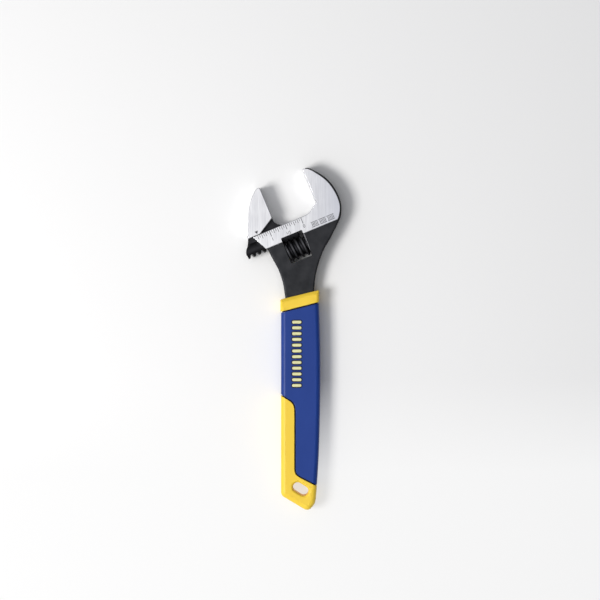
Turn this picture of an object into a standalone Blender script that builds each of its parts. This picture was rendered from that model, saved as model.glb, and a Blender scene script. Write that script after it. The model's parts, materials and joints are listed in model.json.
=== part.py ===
"""Ten-inch adjustable wrench with a two-colour moulded grip.

The wrench lies flat, +Z up, its head toward +Y.  Outlines are drawn in
millimetres about the wrench's mid-plane and scaled to metres as each mesh is
made.  Two frames are used:

* the wrench frame: X across the handle, Y along it;
* the head frame: u along the jaw's track toward the fixed jaw, v across it
  toward the jaw tips.  Its zero is where the track meets the fixed jaw's face.
"""
import math

import bmesh
import bpy
from mathutils import Matrix, Vector

MM = 0.001

# ---- overall frame -------------------------------------------------------
HEAD_TILT = math.radians(22.5)      # standard jaw angle to the handle
HEAD_ZERO = (19.1, 96.5)            # head frame's zero, in the wrench frame
GAP = 0.3                           # between pieces that touch
WELD = 0.00001                      # metres
CUT_HALF = 12.0                     # half depth of a cutter that goes right through

# ---- thickness, each side of the mid-plane -------------------------------
GROUND_HALF = 8.3                   # ground faces of both jaws and the track
FORGED_HALF = 7.6                   # black forging round the worm
SHANK_HALF = 4.2                    # flat bar inside the grip
GRIP_HALF = 8.5

# ---- neck and shank ------------------------------------------------------
NECK_TOP, NECK_BOTTOM = 74.0, 40.0  # Y where the forging thins down
NECK_RIGHT = [(28.0, 76.4), (23.1, 67.8), (19.7, 59.5), (17.1, 50.1), (15.6, 40.4), (14.9, 28.0)]
NECK_LEFT = [(-5.6, 26.0), (-6.8, 34.0), (-8.3, 42.5), (-11.4, 51.6), (-15.2, 58.8), (-18.6, 65.2)]
SHANK_FOOT = [(14.0, -94.0), (12.2, -100.4), (-2.4, -102.0), (-5.2, -96.0)]  # ends short of the hang hole
FORGED_ROUND = 1.3                  # rounding of the forging's edges

# ---- jaws and track ------------------------------------------------------
OPENING = 34.9                      # jaw gap as modelled
JAW_REACH = 32.8                    # v of the jaw tips
THROAT = 6.0                        # v where the fixed jaw's face ends
TRACK_LEFT = -53.6
BAND_DEPTH = 11.9                   # width of the ground band below the track
BLACK_STEP = 0.8                    # the forging stays this far behind the ground faces' edges
GROUND_EDGE = 0.3                   # rounding of the ground faces' edges
JAW_LIFT = 0.2                      # clearance between the movable jaw and the track

# ---- stem, rack and worm -------------------------------------------------
PITCH = 4.25
STEM_R = 5.8
STEM_V = -8.6
STEM_BORE_R = STEM_R + GAP
STEM_LEFT, STEM_RIGHT = -63.2, -20.9
STEM_BORE_END = 30.0                # past the fixed jaw's side, so the bore is open there
STEM_CHAMFER = 0.6
WEB_HALF = 3.1                      # narrow web between jaw and stem
RACK_TIP_V, RACK_ROOT_V = -13.8, -11.5
RACK_FIRST_TIP = -62.1
FLANK = math.tan(math.radians(20.0))
WORM_V = -20.1
WORM_MID = -26.3
WORM_LENGTH = 16.4
WORM_BORE_ENDS = (-40.0, -12.0)     # the worm's bore, run past both of its faces
WORM_R, WORM_ROOT_R = 8.1, 5.9
MESH_R = 7.45                       # radius where rack and worm thread meet
FLANK_CLEARANCE = 0.25
PIN_R = 2.2
PIN_LEFT, PIN_RIGHT = -46.2, -9.5
PIN_CHAMFER = 0.3
DRIVER_SLOT = (2.0, 6.0, 0.9)       # along the pin, across it, wide
SPRING_WIRE = 0.35                  # wire radius
SPRING_R = 3.2                      # coil radius, to the wire's middle
SPRING_TURNS = 4.0
SPRING_PLAY = 0.1                   # free space at each end of the spring
SPRING_POCKET_R, SPRING_POCKET_DEPTH = 3.9, 5.0
WINDOW = (-34.8, -17.8, -29.3, -8.8)    # u low, u high, v low, v high
WINDOW_CORNER = 0.9

# ---- grip ----------------------------------------------------------------
GRIP_LEFT = -9.5
COLLAR_PROUD = 0.5                  # collar stands out past the sleeve's left side
COLLAR_LINE = ((-10.0, 19.8), (19.0, 27.2))     # where the collar and the sleeve meet
SKIN = 2.2                          # wall of the blue sleeve
GRIP_ROUND = 3.6                    # rounding of the grip's long edges
INNER_ROUND = 2.2                   # the same, on the faces inside the sleeve
COLLAR_ROUND = 1.6
HANG_MID = (5.2, -112.1)
HANG_LONG, HANG_WIDE = 12.5, 7.2
HANG_TILT = math.radians(-32.5)

# ---- colours: base colour, metallic, roughness ---------------------------
BLACK_OXIDE = ((0.045, 0.045, 0.052, 1.0), 0.9, 0.42)
GROUND_STEEL = ((0.62, 0.62, 0.66, 1.0), 1.0, 0.28)
DARK_STEEL = ((0.07, 0.07, 0.08, 1.0), 0.9, 0.38)
SPRING_STEEL = ((0.35, 0.35, 0.37, 1.0), 1.0, 0.3)
YELLOW = ((0.90, 0.62, 0.06, 1.0), 0.0, 0.45)
BLUE = ((0.030, 0.065, 0.29, 1.0), 0.0, 0.5)


# ---- frames and outlines -------------------------------------------------
def clear_scene():
    """Remove every object that the file opened with."""
    for thing in list(bpy.data.objects):
        bpy.data.objects.remove(thing, do_unlink=True)


def from_track(u, v):
    """Head-frame point as a wrench-frame point."""
    cos, sin = math.cos(HEAD_TILT), math.sin(HEAD_TILT)
    return (HEAD_ZERO[0] + u * cos - v * sin, HEAD_ZERO[1] + u * sin + v * cos)


def smooth_path(keys, steps=3):
    """Curve through the keys (Catmull-Rom), ends included."""
    keys = [Vector(key) for key in keys]
    padded = [2 * keys[0] - keys[1]] + keys + [2 * keys[-1] - keys[-2]]
    points = []
    for a, b, c, d in zip(padded, padded[1:], padded[2:], padded[3:]):
        for step in range(steps):
            t = step / steps
            bend = (2 * a - 5 * b + 4 * c - d) * t ** 2 + (3 * b - a - 3 * c + d) * t ** 3
            points.append(tuple(b + ((c - a) * t + bend) / 2))
    points.append(tuple(keys[-1]))
    return points


def rounded(corners, steps=4):
    """Closed outline through its corners; a corner (x, y, radius) is rounded by an arc."""
    points = []
    count = len(corners)
    for index, corner in enumerate(corners):
        here = Vector(corner[:2])
        if len(corner) == 2:
            points.append(corner)
            continue
        radius = corner[2]
        back = (Vector(corners[index - 1][:2]) - here).normalized()
        ahead = (Vector(corners[(index + 1) % count][:2]) - here).normalized()
        half = back.angle(ahead) / 2
        middle = here + (back + ahead).normalized() * radius / math.sin(half)
        start = here + back * radius / math.tan(half) - middle
        end = here + ahead * radius / math.tan(half) - middle
        sweep = start.angle_signed(end)
        for step in range(steps + 1):
            turn = Matrix.Rotation(-sweep * step / steps, 2)
            points.append(tuple(middle + turn @ start))
    return points


def capsule(middle, length, width, tilt, steps=10):
    """Outline of a slot with round ends."""
    radius = width / 2
    points = []
    for end, start in ((1, -math.pi / 2), (-1, math.pi / 2)):
        for step in range(steps + 1):
            angle = start + math.pi * step / steps
            along = end * (length / 2 - radius) + radius * math.cos(angle)
            across = radius * math.sin(angle)
            points.append((middle[0] + along * math.cos(tilt) - across * math.sin(tilt),
                           middle[1] + along * math.sin(tilt) + across * math.cos(tilt)))
    return points


def grown(outline, distance):
    """Outline moved outward by distance, mitred at its corners."""
    area = sum(a[0] * b[1] - b[0] * a[1] for a, b in zip(outline, outline[1:] + outline[:1]))
    side = 1 if area > 0 else -1
    points = []
    for index, here in enumerate(outline):
        before = Vector(outline[index - 1])
        after = Vector(outline[(index + 1) % len(outline)])
        into = (Vector(here) - before).normalized()
        out = (after - Vector(here)).normalized()
        normal_in = Vector((into.y, -into.x)) * side
        normal_out = Vector((out.y, -out.x)) * side
        mitre = (normal_in + normal_out).normalized()
        points.append(tuple(Vector(here) + mitre * distance / max(0.35, mitre.dot(normal_in))))
    return points


# ---- meshes --------------------------------------------------------------
def mesh_object(name, shape, parent=None):
    """Object from a bmesh in millimetres, with outward faces."""
    bmesh.ops.remove_doubles(shape, verts=shape.verts, dist=WELD / MM)
    bmesh.ops.recalc_face_normals(shape, faces=shape.faces)
    bmesh.ops.scale(shape, vec=(MM, MM, MM), verts=shape.verts)
    mesh = bpy.data.meshes.new(name)
    shape.to_mesh(mesh)
    shape.free()
    thing = bpy.data.objects.new(name, mesh)
    bpy.context.collection.objects.link(thing)
    thing.parent = parent
    return thing


def prism_shape(outline, half):
    """Bmesh of a prism from -half to +half."""
    shape = bmesh.new()
    base = shape.faces.new([shape.verts.new((x, y, -half)) for x, y in outline])
    grown_part = bmesh.ops.extrude_face_region(shape, geom=[base])["geom"]
    risen = [item for item in grown_part if isinstance(item, bmesh.types.BMVert)]
    bmesh.ops.translate(shape, vec=(0, 0, 2 * half), verts=risen)
    return shape


def rim_edges(shape):
    """Edges between a side wall and a flat end of a prism."""
    def is_side(face):
        return abs(face.normal.z) < 0.5
    shape.normal_update()
    return [edge for edge in shape.edges
            if len(edge.link_faces) == 2 and is_side(edge.link_faces[0]) != is_side(edge.link_faces[1])]


def prism(name, outline, half, parent, edge_round=0.0, segments=3):
    """Prism object, its two rims rounded by edge_round."""
    shape = prism_shape(outline, half)
    if edge_round:
        bmesh.ops.bevel(shape, geom=rim_edges(shape), offset=edge_round, offset_type="OFFSET",
                        segments=segments, profile=0.5, affect="EDGES", clamp_overlap=False)
    return mesh_object(name, shape, parent)


def rod_along_u(name, radius, low, high, parent, sides=32, chamfer=0.0):
    """Cylinder along the head frame's u axis, from low to high."""
    shape = bmesh.new()
    turn = Matrix.Translation(((low + high) / 2, 0, 0)) @ Matrix.Rotation(math.pi / 2, 4, "Y")
    bmesh.ops.create_cone(shape, cap_ends=True, segments=sides, radius1=radius, radius2=radius,
                          depth=high - low, matrix=turn)
    if chamfer:
        rims = [edge for edge in shape.edges if abs(edge.verts[0].co.x - edge.verts[1].co.x) < 1e-6]
        bmesh.ops.bevel(shape, geom=rims, offset=chamfer, segments=1, affect="EDGES")
    return mesh_object(name, shape, parent)


def as_cutter(thing):
    """Mark a helper shape, so that it is left out of the finished model."""
    thing.hide_render = True
    thing.display_type = "WIRE"
    return thing


def boolean(target, operation, tool):
    """Join or cut target with a helper shape."""
    modifier = target.modifiers.new(operation.title() + "_" + tool.name, "BOOLEAN")
    modifier.operation = operation
    modifier.solver = "EXACT"
    modifier.object = as_cutter(tool)


def finish_piece(thing, colour, smooth_angle=35.0):
    """Give a piece its own material and smooth its round faces."""
    base, metallic, roughness = colour
    material = bpy.data.materials.new(thing.name + "_material")
    material.use_nodes = True
    shader = material.node_tree.nodes["Principled BSDF"]
    shader.inputs["Base Color"].default_value = base
    shader.inputs["Metallic"].default_value = metallic
    shader.inputs["Roughness"].default_value = roughness
    material.diffuse_color = base
    thing.data.materials.append(material)
    thing.data.shade_smooth()
    thing.data.set_sharp_from_angle(angle=math.radians(smooth_angle))


# ---- forged body ---------------------------------------------------------
def fixed_jaw_back():
    """Outer curve of the fixed jaw, tip first, in the head frame."""
    return [(2.4, 32.8), (4.6, 31.9), (7.3, 29.1), (12.4, 22.4), (15.6, 15.4), (17.3, 6.8),
            (17.0, -1.2), (14.7, -7.6), (11.3, -12.6)]


def forging_outline():
    """Silhouette of the forging, set in behind the ground faces of the track and jaw."""
    jaw = [from_track(u, v) for u, v in fixed_jaw_back()]
    head = [from_track(u, v) for u, v in (
        (-47.2, -11.0), (TRACK_LEFT + 1.5, -BLACK_STEP - 0.6), (-8.6 + BLACK_STEP, -BLACK_STEP),
        (BLACK_STEP, THROAT - 0.4), (BLACK_STEP, JAW_REACH - BLACK_STEP))]
    return smooth_path(jaw + NECK_RIGHT) + SHANK_FOOT + smooth_path(NECK_LEFT) + head


def half_thickness(y):
    """Half thickness of the forging at y, falling from the head to the shank."""
    t = min(1.0, max(0.0, (y - NECK_BOTTOM) / (NECK_TOP - NECK_BOTTOM)))
    return SHANK_HALF + (FORGED_HALF - SHANK_HALF) * t * t * (3 - 2 * t)


def forging(frame):
    """Black forging: fixed jaw, worm housing, neck and shank in one piece."""
    shape = prism_shape(forging_outline(), 1.0)
    levels = [NECK_BOTTOM + (NECK_TOP - NECK_BOTTOM) * step / 8 for step in range(9)]
    for y in levels:
        bmesh.ops.bisect_plane(shape, geom=shape.verts[:] + shape.edges[:] + shape.faces[:],
                               dist=1e-5, plane_co=(0, y, 0), plane_no=(0, 1, 0))
    for vert in shape.verts:
        below = max([y for y in levels if y <= vert.co.y + 1e-4], default=levels[0])
        above = min([y for y in levels if y >= vert.co.y - 1e-4], default=levels[-1])
        share = (vert.co.y - below) / (above - below) if above > below else 0.0
        low, high = half_thickness(below), half_thickness(above)
        vert.co.z *= low + (high - low) * share
    bmesh.ops.bevel(shape, geom=rim_edges(shape), offset=FORGED_ROUND, offset_type="OFFSET",
                    segments=3, profile=0.5, affect="EDGES", clamp_overlap=False)
    return mesh_object("body", shape, frame)


def ground_outline():
    """Ground faces: the fixed jaw and the band under the track, in the head frame."""
    back = smooth_path([(2.2, 32.2), (4.2, 31.2), (7.8, 27.0), (12.7, 19.3), (15.4, 11.2),
                        (16.2, 2.4), (15.0, -4.4), (12.0, -9.7), (10.0, -BAND_DEPTH)])
    return ([(0.0, THROAT), (0.0, JAW_REACH - 0.5), (0.6, JAW_REACH)] + back
            + [(-47.9, -BAND_DEPTH), (TRACK_LEFT, -0.4), (TRACK_LEFT + 0.4, 0.0)]
            + smooth_path([(-13.0, 0.0), (-9.8, 0.25), (-7.6, 0.9)], 3))


def jaw_slot_outline():
    """Slot for the movable jaw's web, with room for its foot when the jaws close."""
    foot = smooth_path([(6.7, 0.2), (4.2, 1.6), (1.7, 4.2), (0.7, 8.2)])
    return [(-70.0, 8.2), (-70.0, STEM_V), (6.7, STEM_V)] + foot


def window_outline():
    """Worm window, its corners rounded."""
    low_u, high_u, low_v, high_v = WINDOW
    corners = [(low_u, low_v), (high_u, low_v), (high_u, high_v), (low_u, high_v)]
    return rounded([(u, v, WINDOW_CORNER) for u, v in corners], 3)


def build_body(frame, head):
    """Forging with its ground faces, worm window, stem bore and pin hole."""
    body = forging(frame)
    boolean(body, "UNION", prism("ground_faces", ground_outline(), GROUND_HALF, head, GROUND_EDGE, 2))
    boolean(body, "DIFFERENCE", prism("jaw_slot", jaw_slot_outline(), WEB_HALF + GAP, head))
    bore = rod_along_u("stem_bore", STEM_BORE_R, -70.0, STEM_BORE_END, head, 40)
    bore.location = (0, STEM_V * MM, 0)
    boolean(body, "DIFFERENCE", bore)
    boolean(body, "DIFFERENCE", prism("window", window_outline(), CUT_HALF, head))
    pin_hole = rod_along_u("pin_hole", PIN_R + GAP, -55.0, PIN_RIGHT + GAP, head, 28)
    pin_hole.location = (0, WORM_V * MM, 0)
    boolean(body, "DIFFERENCE", pin_hole)
    finish_piece(body, BLACK_OXIDE)


# ---- movable jaw ---------------------------------------------------------
def movable_jaw_outline():
    """Ground upper part of the movable jaw; its gripping face is at u = -OPENING."""
    back = smooth_path([(-37.0, 32.4), (-39.2, 31.1), (-44.0, 26.5), (-49.2, 18.9), (-54.9, 6.7),
                        (-57.2, 1.1), (-57.5, JAW_LIFT)])
    face = [(-OPENING, 7.9), (-OPENING, JAW_REACH - 0.9), (-OPENING - 0.5, JAW_REACH - 0.4)]
    return [(-48.0, JAW_LIFT)] + face + back


def web_outline():
    """Narrow web under the jaw, from its foot to the end of the stem."""
    foot = smooth_path([(-28.6, -1.2), (-28.8, -0.1), (-30.8, 0.7), (-32.4, 1.7), (-34.0, 3.5),
                        (-OPENING, 5.6), (-OPENING - 0.1, 8.6)])
    end = smooth_path([(-57.4, 2.2), (-57.8, -0.3), (-60.2, -4.9), (-62.6, -8.0), (STEM_LEFT, -10.4)])
    return [(-28.6, STEM_V)] + foot + [(-44.0, 8.6)] + end + [(-62.6, STEM_V - 3.6), (-58.0, STEM_V - 3.6)]


def rack_gap(index):
    """Slanted trough between two rack teeth, cut from below the stem."""
    middle = RACK_FIRST_TIP + PITCH * (index + 0.5)
    mesh_v = WORM_V + MESH_R
    outline = []
    for v, side in ((RACK_ROOT_V, -1), (RACK_TIP_V - 2.0, -1), (RACK_TIP_V - 2.0, 1), (RACK_ROOT_V, 1)):
        half_width = PITCH / 4 + FLANK * (mesh_v - v)
        outline.append((middle + side * half_width, v))
    return outline


def add_slanted_prism(shape, outline, half, slant):
    """Prism in the head frame whose u shifts by slant for each step of z."""
    rings = [[shape.verts.new((u + slant * z, v, z)) for u, v in outline] for z in (-half, half)]
    low, high = rings
    shape.faces.new(low[::-1])
    shape.faces.new(high)
    for index in range(len(outline)):
        after = (index + 1) % len(outline)
        shape.faces.new((low[index], low[after], high[after], high[index]))


def build_movable_jaw(head):
    """Jaw, web and round stem in one forging, with the rack cut along the stem."""
    jaw = prism("movable_jaw", movable_jaw_outline(), GROUND_HALF, head, GROUND_EDGE, 2)
    boolean(jaw, "UNION", prism("web", web_outline(), WEB_HALF, head))
    stem = rod_along_u("stem", STEM_R, STEM_LEFT - 1.0, STEM_RIGHT, head, 36, STEM_CHAMFER)
    stem.location = (0, STEM_V * MM, 0)
    stem_end = smooth_path([(-58.6, -2.0), (-60.2, -4.9), (-62.3, -7.6), (STEM_LEFT, -10.4)])
    beyond = ([(-70.0, 4.0), (-57.9, 0.4)] + stem_end
              + [(-62.8, -12.6), (-62.8, -20.0), (-70.0, -20.0)])
    boolean(stem, "DIFFERENCE", prism("beyond_stem", beyond, CUT_HALF, head))
    flat = [(-70.0, RACK_TIP_V), (-70.0, -20.0), (-20.0, -20.0), (-20.0, RACK_TIP_V)]
    boolean(stem, "DIFFERENCE", prism("stem_flat", flat, CUT_HALF, head))
    boolean(jaw, "UNION", stem)
    troughs = bmesh.new()
    slant = PITCH / (2 * math.pi * MESH_R)
    for index in range(math.ceil((STEM_RIGHT - STEM_LEFT) / PITCH)):
        add_slanted_prism(troughs, rack_gap(index), STEM_R + 1.0, slant)
    boolean(jaw, "DIFFERENCE", mesh_object("rack_gaps", troughs, head))
    finish_piece(jaw, GROUND_STEEL)


# ---- worm, pin and spring ------------------------------------------------
def thread_profile():
    """One pitch of the worm's thread as (u, radius), starting at the crest's left edge."""
    def half_land(radius):
        return PITCH / 4 - FLANK * (radius - MESH_R) - FLANK_CLEARANCE
    crest, foot = half_land(WORM_R), half_land(WORM_ROOT_R)
    return [(-crest, WORM_R), (crest, WORM_R), (foot, WORM_ROOT_R), (PITCH - foot, WORM_ROOT_R)]


def build_worm(head, sides=40):
    """Right-hand worm, its thread between two rack teeth where it faces the stem."""
    profile = thread_profile()
    count = len(profile)
    first = RACK_FIRST_TIP + PITCH * (math.floor((WORM_MID - WORM_LENGTH / 2 - RACK_FIRST_TIP) / PITCH) - 2.5)
    turns = math.ceil(WORM_LENGTH / PITCH) + 4
    shape = bmesh.new()
    grid = []
    for side in range(sides):
        angle = 2 * math.pi * side / sides
        row = []
        for turn in range(turns):
            for u, radius in profile:
                along = first + PITCH * (turn + side / sides) + u
                row.append(shape.verts.new((along, radius * math.cos(angle), radius * math.sin(angle))))
        grid.append(row)
    for side in range(sides):
        here = grid[side]
        ahead = grid[side + 1] if side + 1 < sides else grid[0][count:]
        for index in range(len(here) - 1):
            if index + 1 < len(ahead):
                shape.faces.new((here[index], ahead[index], ahead[index + 1], here[index + 1]))
    ends = (WORM_MID - WORM_LENGTH / 2, -1), (WORM_MID + WORM_LENGTH / 2, 1)
    for end, way in ends:
        everything = shape.verts[:] + shape.edges[:] + shape.faces[:]
        bmesh.ops.bisect_plane(shape, geom=everything, dist=1e-5, plane_co=(end, 0, 0),
                               plane_no=(way, 0, 0), clear_outer=True)
        rim = [edge for edge in shape.edges if edge.is_boundary
               and abs(edge.verts[0].co.x - end) < 1e-3 and abs(edge.verts[1].co.x - end) < 1e-3]
        bmesh.ops.contextual_create(shape, geom=rim)
    worm = mesh_object("worm", shape, head)
    worm.location = (0, WORM_V * MM, 0)
    axle_bore = rod_along_u("worm_bore", PIN_R + GAP, *WORM_BORE_ENDS, worm, 28)
    pocket_floor = WORM_MID + WORM_LENGTH / 2 - SPRING_POCKET_DEPTH
    pocket = rod_along_u("spring_pocket", SPRING_POCKET_R, pocket_floor, WORM_BORE_ENDS[1], worm, 28)
    boolean(worm, "DIFFERENCE", axle_bore)
    boolean(worm, "DIFFERENCE", pocket)
    finish_piece(worm, DARK_STEEL, 25.0)


def build_pin(head):
    """Worm pin, put in from the left flank; its head has a screwdriver slot."""
    pin = rod_along_u("worm_pin", PIN_R, PIN_LEFT, PIN_RIGHT, head, 28, PIN_CHAMFER)
    pin.location = (0, WORM_V * MM, 0)
    slot = bmesh.new()
    size = Matrix.Diagonal((*DRIVER_SLOT, 1.0))
    bmesh.ops.create_cube(slot, matrix=Matrix.Translation((PIN_LEFT, 0, 0)) @ size)
    boolean(pin, "DIFFERENCE", mesh_object("driver_slot", slot, pin))
    finish_piece(pin, DARK_STEEL)


def build_spring(head, sides=6, steps=16):
    """Small coil spring round the pin, in the pocket at the worm's right end."""
    low = WORM_MID + WORM_LENGTH / 2 - SPRING_POCKET_DEPTH + SPRING_WIRE + SPRING_PLAY
    high = WINDOW[1] - SPRING_WIRE - SPRING_PLAY
    rings = []
    shape = bmesh.new()
    total = round(SPRING_TURNS * steps)
    for index in range(total + 1):
        angle = 2 * math.pi * index / steps
        along = low + (high - low) * index / total
        ring = []
        for side in range(sides):
            around = 2 * math.pi * side / sides
            radius = SPRING_R + SPRING_WIRE * math.cos(around)
            ring.append(shape.verts.new((along + SPRING_WIRE * math.sin(around),
                                         radius * math.cos(angle), radius * math.sin(angle))))
        rings.append(ring)
    for ring, after in zip(rings, rings[1:]):
        for side in range(sides):
            other = (side + 1) % sides
            shape.faces.new((ring[side], after[side], after[other], ring[other]))
    shape.faces.new(rings[0])
    shape.faces.new(rings[-1][::-1])
    spring = mesh_object("worm_spring", shape, head)
    spring.location = (0, WORM_V * MM, 0)
    finish_piece(spring, SPRING_STEEL)


# ---- grip ----------------------------------------------------------------
def grip_outline():
    """Silhouette of the whole grip, from the collar's top corner clockwise."""
    right = smooth_path([(18.9, 27.0), (19.8, -4.6), (19.95, -30.1), (19.5, -60.9), (18.7, -87.1),
                         (17.4, -108.9), (16.6, -119.0)])
    heel = [(15.9, -123.0, 6.0), (10.9, -129.1, 4.3), (GRIP_LEFT, -116.9, 4.3)]
    return rounded([(GRIP_LEFT, 29.6), (19.0, 36.6)] + right + heel)


def collar_outline():
    """Collar that ends the grip at the head, from its lower edge to its top edge."""
    (left, low), (right, high) = COLLAR_LINE
    return rounded([(left, low + GAP / 2), (left, 29.5, 1.7), (right, 36.6, 1.7), (right, high + GAP / 2)], 2)


def sleeve_region(top_rise=0.0):
    """Area that the blue sleeve covers; it runs past the grip's own outline."""
    (left, low), (right, high) = COLLAR_LINE
    slope = (high - low) / (right - left)
    top = [(x, low + slope * (x - left) - GAP / 2 + top_rise) for x in (-20.0, 30.0)]
    return (top + [(30.0, -116.0), (17.3, -109.5)]
            + smooth_path([(5.0, -103.2), (2.2, -101.0), (1.05, -98.0)], 2)
            + [(1.05, -56.0)] + smooth_path([(1.05, -54.6), (0.8, -51.6), (0.0, -48.8), (-2.0, -46.4)], 2)
            + [(GRIP_LEFT, -41.8), (-20.0, -36.4)])


def shank_room_outline():
    """Pocket for the shank, GAP wider than the forging and open at the head end."""
    return grown(smooth_path(NECK_RIGHT[3:]) + SHANK_FOOT + smooth_path(NECK_LEFT[:3]), GAP)


def build_grip(frame):
    """Yellow core with collar, spine and heel, and the blue sleeve moulded round it."""
    sleeve = prism("grip_sleeve", grip_outline(), GRIP_HALF, frame, GRIP_ROUND)
    boolean(sleeve, "INTERSECT", prism("sleeve_area", sleeve_region(), CUT_HALF, frame))
    inside = grown(grip_outline(), -SKIN)
    boolean(sleeve, "DIFFERENCE", prism("sleeve_inside", inside, GRIP_HALF - SKIN, frame, INNER_ROUND))
    finish_piece(sleeve, BLUE)

    core = prism("grip_core", grip_outline(), GRIP_HALF, frame, GRIP_ROUND)
    sleeve_room = grown(sleeve_region(top_rise=20.0), GAP + 0.1)
    boolean(core, "DIFFERENCE", prism("sleeve_room", sleeve_room, CUT_HALF, frame))
    boolean(core, "UNION", prism("collar", collar_outline(), GRIP_HALF, frame, COLLAR_ROUND))
    heart = grown(grip_outline(), -SKIN - GAP)
    boolean(core, "UNION", prism("core_inside", heart, GRIP_HALF - SKIN - GAP, frame, INNER_ROUND))
    boolean(core, "DIFFERENCE", prism("shank_room", shank_room_outline(), SHANK_HALF + GAP, frame))
    hang_hole = capsule(HANG_MID, HANG_LONG, HANG_WIDE, HANG_TILT)
    boolean(core, "DIFFERENCE", prism("hang_hole", hang_hole, CUT_HALF, frame))
    finish_piece(core, YELLOW)


def main():
    """Build every piece of the wrench."""
    clear_scene()
    frame = bpy.data.objects.new("wrench_frame", None)
    bpy.context.collection.objects.link(frame)
    frame.location = (0, 0, GRIP_HALF * MM)
    head = bpy.data.objects.new("head_frame", None)
    bpy.context.collection.objects.link(head)
    head.parent = frame
    head.location = (HEAD_ZERO[0] * MM, HEAD_ZERO[1] * MM, 0)
    head.rotation_euler = (0, 0, HEAD_TILT)
    build_body(frame, head)
    build_movable_jaw(head)
    build_worm(head)
    build_pin(head)
    build_spring(head)
    build_grip(frame)


main()
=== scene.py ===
"""Looks of an adjustable wrench with a two-colour moulded grip.

Outlines are drawn in millimetres about the wrench's mid-plane, in one of two frames, and
every mesh is placed in metres before it is joined or cut:

* the handle frame: X across the handle and Y along it, toward the head;
* the head frame: u along the jaw's track toward the fixed jaw, v across it toward the tips,
  zero where the track meets the fixed jaw's face.
"""
from __future__ import annotations

import json
import logging
import math
from collections.abc import Callable
from dataclasses import dataclass, field
from enum import Enum

import bmesh
import bpy
from mathutils import Matrix, Vector


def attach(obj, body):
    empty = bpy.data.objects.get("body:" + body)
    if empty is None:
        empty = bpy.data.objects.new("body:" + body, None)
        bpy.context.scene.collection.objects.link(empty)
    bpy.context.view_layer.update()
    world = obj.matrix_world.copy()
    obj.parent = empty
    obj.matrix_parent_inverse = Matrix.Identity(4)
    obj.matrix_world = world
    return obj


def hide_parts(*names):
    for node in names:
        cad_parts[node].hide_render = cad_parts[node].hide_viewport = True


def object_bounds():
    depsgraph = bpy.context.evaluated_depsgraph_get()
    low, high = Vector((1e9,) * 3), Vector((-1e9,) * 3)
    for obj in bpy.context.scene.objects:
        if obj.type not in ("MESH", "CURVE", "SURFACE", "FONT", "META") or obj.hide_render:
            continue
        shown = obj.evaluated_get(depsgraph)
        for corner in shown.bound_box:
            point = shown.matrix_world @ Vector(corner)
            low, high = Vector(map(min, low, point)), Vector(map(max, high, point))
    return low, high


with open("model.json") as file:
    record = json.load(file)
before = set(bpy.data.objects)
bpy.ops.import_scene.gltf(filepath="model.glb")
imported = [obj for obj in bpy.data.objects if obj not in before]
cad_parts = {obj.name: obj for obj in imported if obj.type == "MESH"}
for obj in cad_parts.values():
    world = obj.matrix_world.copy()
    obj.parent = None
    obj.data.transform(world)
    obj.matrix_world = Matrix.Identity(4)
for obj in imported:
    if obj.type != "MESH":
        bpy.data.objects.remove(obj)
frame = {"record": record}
CAD_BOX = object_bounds()

LOG = logging.getLogger("wrench")
MM = 0.001                  # metres; the lengths below are in millimetres
INCH = 25.4
SAME = 1e-3                 # points closer than this are one point
ON_PLANE = 1e-5             # points nearer than this to a cutting plane lie on it
PAST = 1.0                  # how far a shallow cutter stands out of the face that it cuts
THROUGH = 12.0              # half height of a cutter that goes right through
FIXED_FACE_MOUNT_V = 20.0   # how far up the fixed jaw's face its mount lies
LEAST_MITRE = 0.35          # a mitre reaches at most 1 / this many times the distance moved
Point = tuple[float, float]


# ==== Frames ==========================================================================
@dataclass(frozen=True)
class Place:
    """A drawing frame of the wrench.

    Attributes:
        matrix: turns millimetres of this frame into metres of the wrench.
    """

    matrix: Matrix

    @classmethod
    def handle(cls) -> Place:
        """Handle frame, on the mid-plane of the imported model."""
        middle = (CAD_BOX[0].z + CAD_BOX[1].z) / 2
        return cls(Matrix.Translation((0, 0, middle)) @ Matrix.Scale(MM, 4))

    @classmethod
    def head(cls) -> Place:
        """Head frame, from the slide's axis and the fixed jaw's gripping face."""
        behaviour = frame["record"]["behaviour"]
        slide = next(joint for joint in behaviour["joints"] if joint["name"] == "jaw_slide")
        face = next(mount for mount in frame["record"]["mounts"] if mount["name"] == "fixed_jaw_face")
        tilt = math.atan2(slide["axis"][1], slide["axis"][0])
        turn = Matrix.Rotation(tilt, 4, "Z")
        up_the_face = turn @ Vector((0, FIXED_FACE_MOUNT_V * MM, 0))
        zero = Vector(face["pos_m"]) - up_the_face
        return cls(Matrix.Translation(zero) @ turn @ Matrix.Scale(MM, 4))

    def flat(self, other: Place, u: float, v: float) -> Point:
        """Point of this frame, drawn in another one.

        Args:
            other: frame to draw it in.
            u: first coordinate here, in millimetres.
            v: second coordinate here, in millimetres.

        Returns:
            The same point's two coordinates in the other frame.
        """
        point = other.matrix.inverted() @ self.matrix @ Vector((u, v, 0))
        return (point.x, point.y)


# ==== Outlines ========================================================================
def curve(keys: list[Point], steps: int = 8) -> list[Point]:
    """Smooth curve through its keys, ends included (Catmull-Rom).

    Args:
        keys: points that the curve passes.
        steps: points drawn for each stretch.

    Returns:
        The points along the curve.
    """
    stops = [Vector(key) for key in keys]
    stops = [2 * stops[0] - stops[1]] + stops + [2 * stops[-1] - stops[-2]]
    points = []
    for a, b, c, d in zip(stops, stops[1:], stops[2:], stops[3:]):
        for step in range(steps):
            t = step / steps
            bend = (2 * a - 5 * b + 4 * c - d) * t ** 2 + (3 * b - a - 3 * c + d) * t ** 3
            points.append(tuple(b + ((c - a) * t + bend) / 2))
    points.append(tuple(stops[-2]))
    return points


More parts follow.
